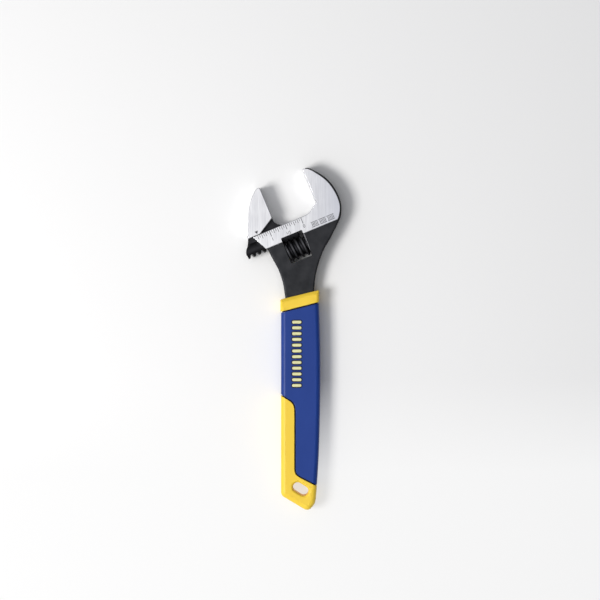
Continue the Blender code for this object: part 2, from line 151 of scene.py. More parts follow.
def cornered(corners: list[tuple[float, ...]], steps: int = 6) -> list[Point]:
    """Closed outline; a corner (x, y, radius) is rounded by an arc, and (x, y) stays sharp.

    Args:
        corners: the corners in order.
        steps: straight pieces in each arc.

    Returns:
        The outline's points.
    """
    points = []
    for index, corner in enumerate(corners):
        here = Vector(corner[:2])
        if len(corner) == 2:
            points.append(tuple(corner))
            continue
        radius = corner[2]
        back = (Vector(corners[index - 1][:2]) - here).normalized()
        ahead = (Vector(corners[(index + 1) % len(corners)][:2]) - here).normalized()
        half = back.angle(ahead) / 2
        middle = here + (back + ahead).normalized() * radius / math.sin(half)
        start = here + back * radius / math.tan(half) - middle
        end = here + ahead * radius / math.tan(half) - middle
        sweep = start.angle_signed(end)
        for step in range(steps + 1):
            points.append(tuple(middle + Matrix.Rotation(-sweep * step / steps, 2) @ start))
    return points


def slot(middle: Point, length: float, width: float, tilt: float, steps: int = 16) -> list[Point]:
    """Outline of a slot with round ends.

    Args:
        middle: its centre.
        length: from end to end.
        width: across.
        tilt: angle of its length to the first axis, in radians.
        steps: straight pieces in each round end.

    Returns:
        The outline's points, anticlockwise.
    """
    turn = Matrix.Rotation(tilt, 2)
    points = []
    for end in (1, -1):
        for step in range(steps + 1):
            angle = -end * math.pi / 2 + math.pi * step / steps
            along = end * (length - width) / 2 + width / 2 * math.cos(angle)
            points.append(tuple(Vector(middle) + turn @ Vector((along, width / 2 * math.sin(angle)))))
    return points


def grown(outline: list[Point], distance: float) -> list[Point]:
    """Outline moved outward, or inward if the distance is negative.

    Args:
        outline: closed outline, either way round.
        distance: how far it moves, in millimetres.

    Returns:
        The moved outline, mitred at its corners.
    """
    area = sum(a[0] * b[1] - b[0] * a[1] for a, b in zip(outline, outline[1:] + outline[:1]))
    side = 1 if area > 0 else -1
    points = []
    for index, here in enumerate(outline):
        into = (Vector(here) - Vector(outline[index - 1])).normalized()
        out = (Vector(outline[(index + 1) % len(outline)]) - Vector(here)).normalized()
        normal = Vector((into.y, -into.x)) * side
        mitre = (normal + Vector((out.y, -out.x)) * side).normalized()
        points.append(tuple(Vector(here) + mitre * distance / max(LEAST_MITRE, mitre.dot(normal))))
    return points


def flared(outline: list[Point], half: float, radius: float, side: int, steps: int = 4
           ) -> list[tuple[list[Point], float]]:
    """Levels of a tool that goes through a block and leaves its two rims rounded.

    Args:
        outline: the tool's outline at mid-depth.
        half: half the block's thickness.
        radius: of the rounding.
        side: 1 for a tool that cuts an opening, -1 for one whose inside is kept.
        steps: strips in the rounding.

    Returns:
        Outlines with their heights, from the lowest.
    """
    proud = 0.3
    upper = []
    for step in range(steps + 1):
        angle = math.pi / 2 * step / steps
        upper.append((radius * (1 - math.cos(angle)), half - radius + radius * math.sin(angle)))
    upper.append((radius, half + proud))
    heights = [(flare, -height) for flare, height in reversed(upper)] + upper
    return [(grown(outline, side * flare), height) for flare, height in heights]


# ==== Solids ==========================================================================
class Cut(Enum):
    """What a tool does to the solid it is used on."""

    JOIN = "UNION"
    REMOVE = "DIFFERENCE"
    KEEP = "INTERSECT"


class Solid:
    """A closed mesh on the bench: millimetres, in one drawing frame."""

    def __init__(self) -> None:
        """Start with nothing on the bench."""
        self.shape = bmesh.new()

    # ---- starting shapes ---------------------------------------------------------
    @classmethod
    def prism(cls, outline: list[Point], half: float, low: float | None = None) -> Solid:
        """Upright prism on an outline.

        Args:
            outline: closed outline.
            half: its top; its bottom too, mirrored, unless low is given.
            low: its bottom.

        Returns:
            The prism.
        """
        bottom = -half if low is None else low
        solid = cls()
        face = solid.shape.faces.new([solid.shape.verts.new((x, y, bottom)) for x, y in outline])
        raised = bmesh.ops.extrude_face_region(solid.shape, geom=[face])["geom"]
        tops = [item for item in raised if isinstance(item, bmesh.types.BMVert)]
        bmesh.ops.translate(solid.shape, vec=(0, 0, half - bottom), verts=tops)
        solid.face_outward()
        return solid

    @classmethod
    def stack(cls, levels: list[tuple[list[Point], float]]) -> Solid:
        """Solid through a stack of level outlines with the same number of points.

        Args:
            levels: outlines with their heights, from the lowest.

        Returns:
            The solid.
        """
        (first, low), (_, high) = levels[:2]
        solid = cls.prism(first, high, low)
        top = max(solid.shape.faces, key=lambda face: face.calc_center_median().z)
        before = first
        for number, (outline, height) in enumerate(levels[1:]):
            if number:
                top = bmesh.ops.extrude_discrete_faces(solid.shape, faces=[top])["faces"][0]
            for vert in top.verts:
                nearest = min(range(len(before)), key=lambda at: math.dist(before[at], vert.co.xy))
                vert.co = Vector((*outline[nearest], height))
            before = outline
        solid.face_outward()
        return solid

    @classmethod
    def rod(cls, radius: float, low: float, high: float, v: float, sides: int) -> Solid:
        """Cylinder along the head frame's first axis.

        Args:
            radius: its radius.
            low: where it starts along the axis.
            high: where it ends.
            v: its axis's place across the track.
            sides: facets round it.

        Returns:
            The cylinder.
        """
        solid = cls()
        turn = Matrix.Translation(((low + high) / 2, v, 0)) @ Matrix.Rotation(math.pi / 2, 4, "Y")
        bmesh.ops.create_cone(solid.shape, cap_ends=True, segments=sides, radius1=radius,
                              radius2=radius, depth=high - low, matrix=turn)
        return solid

    @classmethod
    def block(cls, low: tuple[float, float, float], high: tuple[float, float, float]) -> Solid:
        """Straight block between two corners.

        Args:
            low: lowest corner.
            high: highest corner.

        Returns:
            The block.
        """
        solid = cls()
        solid.add_block(low, high)
        return solid

    @classmethod
    def turned(cls, profile: list[Point], v: float, sides: int) -> Solid:
        """Solid turned about an axis along the track.

        Args:
            profile: (place along the axis, radius) points, first and last on the axis.
            v: the axis's place across the track.
            sides: facets round it.

        Returns:
            The turned solid.
        """
        solid = cls()
        verts = [solid.shape.verts.new((along, v + radius, 0)) for along, radius in profile]
        edges = [solid.shape.edges.new(pair) for pair in zip(verts, verts[1:])]
        bmesh.ops.spin(solid.shape, geom=verts + edges, cent=(0, v, 0), axis=(1, 0, 0),
                       angle=2 * math.pi, steps=sides, use_merge=True, use_duplicate=False)
        bmesh.ops.remove_doubles(solid.shape, verts=solid.shape.verts, dist=SAME)
        solid.face_outward()
        return solid

    # ---- shaping -------------------------------------------------------------------
    def add_block(self, low: tuple[float, float, float], high: tuple[float, float, float]) -> None:
        """Put one more block on the bench, as block() describes."""
        middle, size = (Vector(high) + Vector(low)) / 2, Vector(high) - Vector(low)
        matrix = Matrix.Translation(middle) @ Matrix.Diagonal((*size, 1))
        bmesh.ops.create_cube(self.shape, matrix=matrix)

    def face_outward(self) -> None:
        """Point every face outward."""
        bmesh.ops.recalc_face_normals(self.shape, faces=self.shape.faces)

    def rims(self, lower: bool = True) -> list[bmesh.types.BMEdge]:
        """Edges between a side wall and a level end.

        Args:
            lower: whether to give the bottom's edges with the top's.

        Returns:
            The edges.
        """
        self.shape.normal_update()
        edges = []
        for edge in self.shape.edges:
            ends = [face.normal.z for face in edge.link_faces if abs(face.normal.z) > 0.5]
            if len(edge.link_faces) == 2 and len(ends) == 1 and (lower or ends[0] > 0):
                edges.append(edge)
        return edges

    def bevel(self, edges: list[bmesh.types.BMEdge], width: float, segments: int) -> Solid:
        """Round edges.

        Args:
            edges: the edges.
            width: how far the rounding reaches on each face.
            segments: strips in the rounding.

        Returns:
            This solid.
        """
        bmesh.ops.bevel(self.shape, geom=edges, offset=width, offset_type="OFFSET", segments=segments,
                        profile=0.5, affect="EDGES", clamp_overlap=False, material=-1)
        return self

    def take(self, other: Solid) -> None:
        """Add a copy of another solid, which is used up."""
        copied = bpy.data.meshes.new("copied")
        other.shape.to_mesh(copied)
        other.shape.free()
        self.shape.from_mesh(copied)
        bpy.data.meshes.remove(copied)

    def set_apart(self, chosen: Callable[[bmesh.types.BMFace], bool]) -> Solid:
        """Give the chosen faces the solid's second finish.

        Args:
            chosen: says whether a face is one of them.

        Returns:
            This solid.
        """
        self.shape.normal_update()
        for face in self.shape.faces:
            if chosen(face):
                face.material_index = 1
        return self

    def slice(self, point: tuple[float, float, float], normal: tuple[float, float, float],
              clear: bool = False) -> None:
        """Cut the mesh along a plane.

        Args:
            point: a point on the plane.
            normal: the plane's normal.
            clear: whether to remove what lies past the plane, and close the end.
        """
        shape = self.shape
        cut = bmesh.ops.bisect_plane(shape, geom=shape.verts[:] + shape.edges[:] + shape.faces[:],
                                     dist=ON_PLANE, plane_co=point, plane_no=normal, clear_outer=clear)
        if clear:
            rim = [item for item in cut["geom_cut"] if isinstance(item, bmesh.types.BMEdge)]
            bmesh.ops.contextual_create(shape, geom=rim)

    # ---- off the bench ---------------------------------------------------------------
    def place(self, name: str, where: Place, *materials: bpy.types.Material) -> bpy.types.Object:
        """Make the solid an object, with its place in its mesh.

        Args:
            name: the object's name.
            where: frame that the solid was drawn in.
            materials: its finish, then the finish of its second set of faces.

        Returns:
            The object, at the origin.
        """
        bmesh.ops.transform(self.shape, matrix=where.matrix, verts=self.shape.verts)
        mesh = bpy.data.meshes.new(name)
        self.shape.to_mesh(mesh)
        self.shape.free()
        for material in materials:
            mesh.materials.append(material)
        thing = bpy.data.objects.new(name, mesh)
        bpy.context.collection.objects.link(thing)
        return thing


def is_rim(face: bmesh.types.BMFace) -> bool:
    """Whether a face is part of a rounding between a level face and an upright one."""
    upright, level = 0.05, 0.97
    return upright < abs(face.normal.z) < level


def final_mesh(thing: bpy.types.Object) -> bpy.types.Mesh:
    """New mesh of an object as its modifiers, or its letters, leave it."""
    return bpy.data.meshes.new_from_object(
        thing.evaluated_get(bpy.context.evaluated_depsgraph_get()))


def work(thing: bpy.types.Object, *tools: tuple[Cut, bpy.types.Object]) -> bpy.types.Object:
    """Join or cut an object with tools, which are used up; a cut face takes its tool's finish.

    Args:
        thing: the object.
        tools: pairs of what to do and the tool.

    Returns:
        The same object.
    """
    for cut, tool in tools:
        step = thing.modifiers.new(tool.name, "BOOLEAN")
        step.operation = cut.value
        step.solver = "EXACT"
        step.material_mode = "TRANSFER"
        step.object = tool
    shaped = final_mesh(thing)
    before = thing.data
    thing.modifiers.clear()
    thing.data = shaped
    shaped.name = thing.name
    bpy.data.meshes.remove(before)
    for _, tool in tools:
        bpy.data.objects.remove(tool)
    return thing


def smooth(thing: bpy.types.Object, sharp_over: float) -> None:
    """Shade an object smooth, its flat faces kept flat.

    Args:
        thing: the object.
        sharp_over: angle past which an edge stays crisp, in degrees.
    """
    thing.data.shade_smooth()
    thing.data.set_sharp_from_angle(angle=math.radians(sharp_over))
    even = thing.modifiers.new("even_faces", "WEIGHTED_NORMAL")
    even.keep_sharp = True
    even.weight = 100


# ==== Finishes ========================================================================
class Signal:
    """A socket's value in a material, which Python's operators work on."""

    def __init__(self, graph: Graph, socket: bpy.types.NodeSocket) -> None:
        """Wrap a socket of a graph."""
        self.graph = graph
        self.socket = socket

    def _math(self, operation: str, left: Signal | float, right: Signal | float) -> Signal:
        """One Math node on two values."""
        node = self.graph.add("ShaderNodeMath", {"operation": operation}, {0: left, 1: right})
        return Signal(self.graph, node.outputs[0])

    def __add__(self, other: Signal | float) -> Signal:
        """This value plus another."""
        return self._math("ADD", self, other)

    __radd__ = __add__

    def __mul__(self, other: Signal | float) -> Signal:
        """This value times another."""
        return self._math("MULTIPLY", self, other)

    __rmul__ = __mul__


class Graph:
    """Nodes of a material, or of the world, while they are put together."""

    # A Mix node's sockets share their names, so its colours go by number.
    MIX_FIRST, MIX_SECOND, MIX_RESULT = 6, 7, 2

    def __init__(self, owner: bpy.types.Material | bpy.types.World,
                 shader: str = "Principled BSDF", **constants: object) -> None:
        """Start on an owner's nodes.

        Args:
            owner: the material or the world.
            shader: its shader node's name.
            constants: the shader's sockets that are the same all over, spaces written as _.
        """
        owner.use_nodes = True
        self.owner = owner
        self.nodes, self.links = owner.node_tree.nodes, owner.node_tree.links
        self.shader = self.nodes[shader]
        for socket, value in constants.items():
            self.shader.inputs[socket.replace("_", " ")].default_value = value

    @classmethod
    def new(cls, name: str, **constants: object) -> Graph:
        """Start a new material, its constants as above."""
        return cls(bpy.data.materials.new(name), **constants)

    def add(self, kind: str, settings: dict[str, object], inputs: dict[object, object]
            ) -> bpy.types.Node:
        """Add a node.

        Args:
            kind: its type.
            settings: its own properties, set first.
            inputs: values or links of its sockets, by name or number.

        Returns:
            The node.
        """
        node = self.nodes.new(kind)
        for name, value in settings.items():
            setattr(node, name, value)
        for name, value in inputs.items():
            self.feed(node.inputs[name], value)
        return node

    def feed(self, socket: bpy.types.NodeSocket, value: object) -> None:
        """Set a socket to a number or colour, or link a signal to it."""
        if isinstance(value, Signal):
            self.links.new(value.socket, socket)
        else:
            socket.default_value = value

    def drive(self, socket: str, signal: Signal) -> None:
        """Let a signal set one of the shader's sockets."""
        self.feed(self.shader.inputs[socket], signal)

    def grain(self, scale: tuple[float, float, float], detail: float = 2.0, turn: float = 0.0,
              rough: float = 0.5) -> Signal:
        """Noise over the piece.

        Args:
            scale: waves for each metre along each axis.
            detail: octaves.
            turn: angle of its axes about the upright axis, in radians.
            rough: how much the finer octaves show.

        Returns:
            A value between 0 and 1, 0.5 on average.
        """
        place = self.add("ShaderNodeTexCoord", {}, {})
        mapped = self.add("ShaderNodeMapping", {"vector_type": "POINT"},
                          {"Vector": Signal(self, place.outputs["Object"]),
                           "Rotation": (0.0, 0.0, turn), "Scale": scale})
        noise = self.add("ShaderNodeTexNoise", {"noise_dimensions": "3D"},
                         {"Vector": Signal(self, mapped.outputs["Vector"]), "Scale": 1.0,
                          "Detail": detail, "Roughness": rough})
        return Signal(self, noise.outputs["Fac"])

    def spread(self, signal: Signal, low: float, high: float, to_low: float = 0.0,
               to_high: float = 1.0) -> Signal:
        """Stretch a range of a signal onto another range, held at its ends.

        Args:
            signal: the value.
            low: value that becomes to_low.
            high: value that becomes to_high.
            to_low: first end of the result.
            to_high: last end of the result.

        Returns:
            The stretched value.
        """
        node = self.add("ShaderNodeMapRange", {"clamp": True},
                        {"Value": signal, "From Min": low, "From Max": high, "To Min": to_low,
                         "To Max": to_high})
        return Signal(self, node.outputs["Result"])

    def tint(self, share: Signal, first: tuple[float, ...], second: tuple[float, ...]) -> Signal:
        """Colour between two, by a share.

        Args:
            share: 0 for the first colour, 1 for the second.
            first: a linear colour.
            second: a linear colour.

        Returns:
            The mixed colour.
        """
        return self.blend(share, (*first, 1.0), (*second, 1.0))

    def blend(self, share: Signal, first: object, second: object) -> Signal:
        """Colour between two colours that may themselves be signals, by a share."""
        node = self.add("ShaderNodeMix", {"data_type": "RGBA"},
                        {"Factor": share, self.MIX_FIRST: first, self.MIX_SECOND: second})
        return Signal(self, node.outputs[self.MIX_RESULT])

    def along(self, axis: str, low: float, high: float) -> Signal:
        """Rise from 0 at one place along an axis to 1 at another, both in metres."""
        place = self.add("ShaderNodeTexCoord", {}, {})
        parts = self.add("ShaderNodeSeparateXYZ", {}, {0: Signal(self, place.outputs["Object"])})
        return self.spread(Signal(self, parts.outputs[axis]), low, high)

    def relief(self, height: Signal, distance: float, strength: float) -> None:
        """Bump the surface.

        Args:
            height: relief, 0 to 1.
            distance: height of 1, in metres.
            strength: how much of it shows.
        """
        node = self.add("ShaderNodeBump", {},
                        {"Height": height, "Distance": distance, "Strength": strength})
        self.drive("Normal", Signal(self, node.outputs["Normal"]))


@dataclass(frozen=True)
class GroundSteel:
    """Steel ground on a belt: scratches along the handle, in streaks and clouds, with painted shade
    toward the fixed jaw's back.

    Attributes:
        name: the material's name.
        bright: linear colour of the brightest steel, at the sliding jaw.
        dull: linear colour of the dullest.
        far: linear colour at the fixed jaw's back, darker and bluer: painted shade.
        roughness: its middle value.
        scratch_width: across a scratch, in metres.
        scratch_length: along it.
        scratch_deep: its depth.
        lay: angle of the scratches to the handle, in radians.
        streaks: waves for each metre along each axis.
        clouds: waves for each metre along each axis.
        far_shade: how much darker the dull steel is than the bright, at the back.
        fade: where along X the painted shade starts and ends, in metres.
    """

    name: str = "ground_steel"
    bright: tuple[float, float, float] = (0.88, 0.88, 0.90)
    dull: tuple[float, float, float] = (0.62, 0.62, 0.65)
    far: tuple[float, float, float] = (0.64, 0.65, 0.71)
    roughness: float = 0.36
    scratch_width: float = 0.22 * MM
    scratch_length: float = 14.0 * MM
    scratch_deep: float = 0.009 * MM
    lay: float = 0.05
    streaks: tuple[float, float, float] = (700.0, 30.0, 700.0)
    clouds: tuple[float, float, float] = (55.0, 38.0, 55.0)
    far_shade: float = 0.88
    fade: tuple[float, float] = (0.010, 0.034)

    def material(self) -> bpy.types.Material:
        """Nodes of the finish: bright at the sliding jaw, darker and bluer toward the fixed jaw's back
        as painted shade.
        """
        graph = Graph.new(self.name, Metallic=1.0)
        scratch_waves = (1 / self.scratch_width, 1 / self.scratch_length, 900.0)
        scratches = graph.grain(scratch_waves, detail=3.0, turn=self.lay, rough=0.65)
        streaks = graph.grain(self.streaks, turn=self.lay, rough=0.6)
        clouds = graph.grain(self.clouds, detail=3.0)
        tone = graph.spread(scratches * 0.4 + streaks * 0.3 + clouds * 0.3, 0.38, 0.62)
        near = graph.tint(tone, self.dull, self.bright)
        # Painted shade: the steel turns darker and bluer toward the fixed jaw's back.
        painted_shade = graph.tint(tone, tuple(self.far_shade * channel for channel in self.far), self.far)
        graph.drive("Base Color", graph.blend(graph.along("X", *self.fade), near, painted_shade))
        graph.drive("Roughness", graph.spread(scratches, 0.3, 0.7, self.roughness - 0.05,
                                              self.roughness + 0.09))
        graph.relief(scratches, self.scratch_deep, 0.7)
        return graph.owner


@dataclass(frozen=True)
class BlackOxide:
    """Blackened forging: dark, faintly blue, with a fine blasted skin."""

    name: str = "black_oxide"
    deep: tuple[float, float, float] = (0.020, 0.021, 0.024)
    pale: tuple[float, float, float] = (0.036, 0.037, 0.041)
    roughness: float = 0.44
    pitch: float = 0.35 * MM
    relief: float = 0.02 * MM
    mottle: float = 130.0

    def material(self) -> bpy.types.Material:
        """Nodes of the finish."""
        graph = Graph.new(self.name, Metallic=0.85)
        skin = graph.grain((1 / self.pitch,) * 3, detail=3.0, rough=0.6)
        mottle = graph.grain((self.mottle,) * 3, detail=4.0)
        graph.drive("Base Color", graph.tint(graph.spread(mottle, 0.3, 0.7), self.deep, self.pale))
        graph.drive("Roughness", graph.spread(mottle * 0.5 + skin * 0.5, 0.3, 0.7,
                                              self.roughness - 0.06, self.roughness + 0.08))
        graph.relief(skin, self.relief, 0.5)
        return graph.owner


@dataclass(frozen=True)
class Moulded:
    """Moulded plastic with a fine spark-eroded texture."""

    name: str
    colour: tuple[float, float, float]
    shade: tuple[float, float, float]
    roughness: float = 0.42
    shine: float = 0.4
    pitch: float = 0.3 * MM
    depth: float = 0.03 * MM
    drift: tuple[float, float, float] = (45.0, 22.0, 45.0)

    def material(self) -> bpy.types.Material:
        """Nodes of the finish."""
        graph = Graph.new(self.name, Specular_IOR_Level=self.shine)
        erosion = graph.grain((1 / self.pitch,) * 3, rough=0.55)
        drift = graph.grain(self.drift, detail=3.0)
        graph.drive("Base Color", graph.tint(graph.spread(drift, 0.3, 0.7), self.shade, self.colour))
        graph.drive("Roughness", graph.spread(erosion, 0.3, 0.7, self.roughness - 0.05,
                                              self.roughness + 0.06))
        graph.relief(erosion, self.depth, 0.6)
        return graph.owner


@dataclass(frozen=True)
class Worn:
    """Plain metal with light handling wear: edges, wire and engraving."""

    name: str
    clean: tuple[float, float, float]
    dirty: tuple[float, float, float]
    roughness: float
    wear: float = 900.0
    depth: float = 0.01 * MM

    def material(self) -> bpy.types.Material:
        """Nodes of the finish."""
        graph = Graph.new(self.name, Metallic=0.9)
        wear = graph.grain((self.wear,) * 3, detail=3.0, rough=0.6)
        graph.drive("Base Color", graph.tint(graph.spread(wear, 0.35, 0.65), self.dirty, self.clean))
        graph.drive("Roughness", graph.spread(wear, 0.3, 0.7, self.roughness, self.roughness + 0.1))
        graph.relief(wear, self.depth, 0.4)
        return graph.owner


def made_once(kind: type, *values: object) -> bpy.types.Material:
    """Field of a set of finishes: one material, made when the set is.

    Args:
        kind: the finish's class.
        values: what the class is given.

    Returns:
        The field.
    """
    return field(default_factory=lambda: kind(*values).material())


@dataclass
class Finishes:
    """Every finish of the wrench, each made once."""

    ground: bpy.types.Material = made_once(GroundSteel)
    oxide: bpy.types.Material = made_once(BlackOxide)
    worm: bpy.types.Material = made_once(
        BlackOxide, "worm_oxide", (0.020, 0.020, 0.024), (0.050, 0.050, 0.056), 0.38, 0.25 * MM,
        0.03 * MM)
    # Lighter oxide on the thread crests: a painted highlight along the worm's ridges.
    crest: bpy.types.Material = made_once(
        BlackOxide, "crest_painted_highlight", (0.060, 0.060, 0.066), (0.120, 0.120, 0.128), 0.34, 0.25 * MM)
    rim: bpy.types.Material = made_once(
        Worn, "eased_rim", (0.40, 0.40, 0.42), (0.30, 0.30, 0.32), 0.62)
    # Light grey on the window's chamfers: partly edge wear, partly a painted highlight along the
    # window's sides.
    edge: bpy.types.Material = made_once(
        Worn, "rubbed_edge_and_painted_highlight", (0.55, 0.55, 0.57), (0.34, 0.34, 0.36), 0.4)
    engraving: bpy.types.Material = made_once(
        Worn, "engraving", (0.11, 0.11, 0.12), (0.05, 0.05, 0.055), 0.55)
    # Darker oxide on the web, stem and rack: painted shade for the recess under the sliding jaw.
    stem: bpy.types.Material = made_once(
        BlackOxide, "stem_oxide_painted_shade", (0.012, 0.012, 0.014), (0.026, 0.026, 0.030), 0.42, 0.3 * MM)
    wire: bpy.types.Material = made_once(
        Worn, "spring_wire", (0.55, 0.55, 0.57), (0.38, 0.38, 0.40), 0.25)
    yellow: bpy.types.Material = made_once(
        Moulded, "yellow_plastic", (0.95, 0.66, 0.060), (0.90, 0.61, 0.048), 0.42, 0.3)
    blue: bpy.types.Material = made_once(
        Moulded, "blue_plastic", (0.0145, 0.050, 0.268), (0.0115, 0.043, 0.240), 0.35, 0.22)
    # Dark plastic: painted shade on the groove floor and hidden heart, and a painted shadow round the
    # pale bars.
    heart: bpy.types.Material = made_once(
        Moulded, "painted_shade_heart", (0.012, 0.013, 0.022), (0.008, 0.009, 0.016), 0.6, 0.2)
    pale: bpy.types.Material = made_once(
        Moulded, "pale_marks", (0.80, 0.79, 0.44), (0.75, 0.73, 0.38), 0.5)


# ==== Head ============================================================================
@dataclass(frozen=True)
class Shank:
    """Neck and flat shank, in the handle frame, which the forging and the grip share."""

    half: float = 4.2
    right: tuple[Point, ...] = ((17.1, 50.1), (15.6, 40.4), (14.9, 28.0))
    foot: tuple[Point, ...] = ((14.0, -94.0), (12.2, -100.4), (-2.4, -102.0), (-5.2, -96.0))
    left: tuple[Point, ...] = ((-5.6, 26.0), (-6.8, 34.0), (-8.3, 42.5))


@dataclass(frozen=True)
class Head:
    """Sizes that the forging, the sliding jaw and the worm share, in the head frame."""

    past_left: float = -70.0        # left of every piece
    past_right: float = 30.0
    gap: float = 0.3                # play round what turns or slides
    ground_half: float = 8.3        # half thickness of the ground faces
    forged_half: float = 7.6        # half thickness of the black forging
    opening: float = 34.9
    reach: float = 32.8             # how far the jaws stand up from the track
    throat: float = 6.0             # where the fixed jaw's flat face starts
    track_left: float = -53.6
    band: float = 11.9              # how far the ground faces go below the track
    stem_radius: float = 5.8
    stem_v: float = -8.6
    stem_left: float = -63.2
    stem_right: float = -20.9
    stem_sides: int = 96
    web_half: float = 3.1
    tooth_tip_v: float = -13.8
    tooth_root_v: float = -11.5
    first_tooth: float = -62.1
    pitch: float = 4.25
    flank: float = math.tan(math.radians(20.0))
    worm_v: float = -20.1
    worm_middle: float = -26.3
    worm_length: float = 16.4
    worm_radius: float = 8.1
    worm_root: float = 5.9
    mesh_radius: float = 7.45       # where thread and tooth are as wide as their gaps
    pin_radius: float = 2.2
    pin_ends: tuple[float, float] = (-46.2, -9.5)
    pin_hole_sides: int = 48
    window: tuple[float, float, float, float] = (-34.8, -17.8, -29.3, -8.8)    # u, u, v, v

    def slot_outline(self) -> list[Point]:
        """Slot for the sliding jaw's web, with room for its foot when the jaws close."""
        foot = curve([(6.7, 0.2), (4.2, 1.6), (1.7, 4.2), (0.7, 8.2)])
        left = self.past_left
        return [(left, 8.2), (left, self.stem_v), (6.7, self.stem_v)] + foot


@dataclass
class Engraving:
    """Cutters for the scale and the hatched boxes in the ground band."""

    head: Head
    finishes: Finishes
    place: Place
    depth: float = 0.14
    ticks: int = 22
    zero_u: float = -15.1
    tick_v: float = -0.45
    tick_sizes: tuple[tuple[int, float, float], ...] = (    # each so many ticks, length, half width
        (16, 4.4, 0.22), (8, 3.9, 0.22), (4, 3.3, 0.17), (2, 2.7, 0.17), (1, 2.0, 0.17))
    numbers: tuple[tuple[int, str, float], ...] = (         # tick, words, size
        (0, "0", 3.6), (8, "1/2", 2.9), (16, "1", 3.6))
    number_v: float = -8.1
    boxes: int = 3
    box_corner: Point = (-9.6, -10.2)
    box_wide: float = 5.2
    box_high: float = 3.6
    box_pitch: float = 6.4
    bars: int = 5
    bar_gap: float = 0.5
    line_half: float = 0.2

    @property
    def floor(self) -> float:
        """Height of the engraving's floor."""
        return self.head.ground_half - self.depth

    def tick_u(self, tick: int) -> float:
        """Place of a tick along the track; ticks are a sixteenth of an inch apart."""
        return self.zero_u - INCH / 16 * tick

    def add_line(self, solid: Solid, low: Point, high: Point) -> None:
        """Add the cutter of one straight line between two corners to a solid."""
        solid.add_block((*low, self.floor), (*high, self.floor + PAST))

    def graduations(self) -> Solid:
        """Ticks, longer at each inch, half, quarter and eighth."""
        solid = Solid()
        for tick in range(self.ticks + 1):
            _, length, half = next(size for size in self.tick_sizes if tick % size[0] == 0)
            u = self.tick_u(tick)
            self.add_line(solid, (u - half, self.tick_v - length), (u + half, self.tick_v))
        return solid

    def numeral(self, tick: int, words: str, size: float) -> Solid:
        """Number upright below its tick.

        Args:
            tick: the tick.
            words: what to write.
            size: of the letters.

        Returns:
            The number's cutter.
        """
        text = bpy.data.curves.new(f"numeral_{tick}", "FONT")
        text.body = words
        text.size = size
        text.align_x = "CENTER"
        text.extrude = PAST / 2
        text.resolution_u = 3
        stand_in = bpy.data.objects.new(text.name, text)
        bpy.context.collection.objects.link(stand_in)
        mesh = final_mesh(stand_in)
        bpy.data.objects.remove(stand_in)
        solid = Solid()
        solid.shape.from_mesh(mesh)
        bpy.data.meshes.remove(mesh)
        bmesh.ops.remove_doubles(solid.shape, verts=solid.shape.verts, dist=SAME / 10)
        solid.face_outward()
        middle = (self.tick_u(tick), self.number_v, self.floor + PAST / 2)
        bmesh.ops.translate(solid.shape, vec=middle, verts=solid.shape.verts)
        return solid

    def hatched_boxes(self) -> Solid:
        """Row of hatched boxes beside the fixed jaw."""
        solid = Solid()
        line, (first, low) = self.line_half, self.box_corner
        for box in range(self.boxes):
            left = first + self.box_pitch * box
            for v in (low, low + self.box_high):
                self.add_line(solid, (left - line, v - line), (left + self.box_wide + line, v + line))
            for bar in range(self.bars):
                u = left + self.box_wide * (bar + 0.5) / self.bars
                self.add_line(solid, (u - line, low + self.bar_gap),
                              (u + line, low + self.box_high - self.bar_gap))
        return solid

    def build(self) -> list[bpy.types.Object]:
        """Every cutter, as objects."""
        finish = self.finishes.engraving
        return [self.graduations().place("graduations", self.place, finish),
                self.hatched_boxes().place("hatched_boxes", self.place, finish),
                *[self.numeral(*number).place(f"numeral_{number[0]}", self.place, finish)
                  for number in self.numbers]]


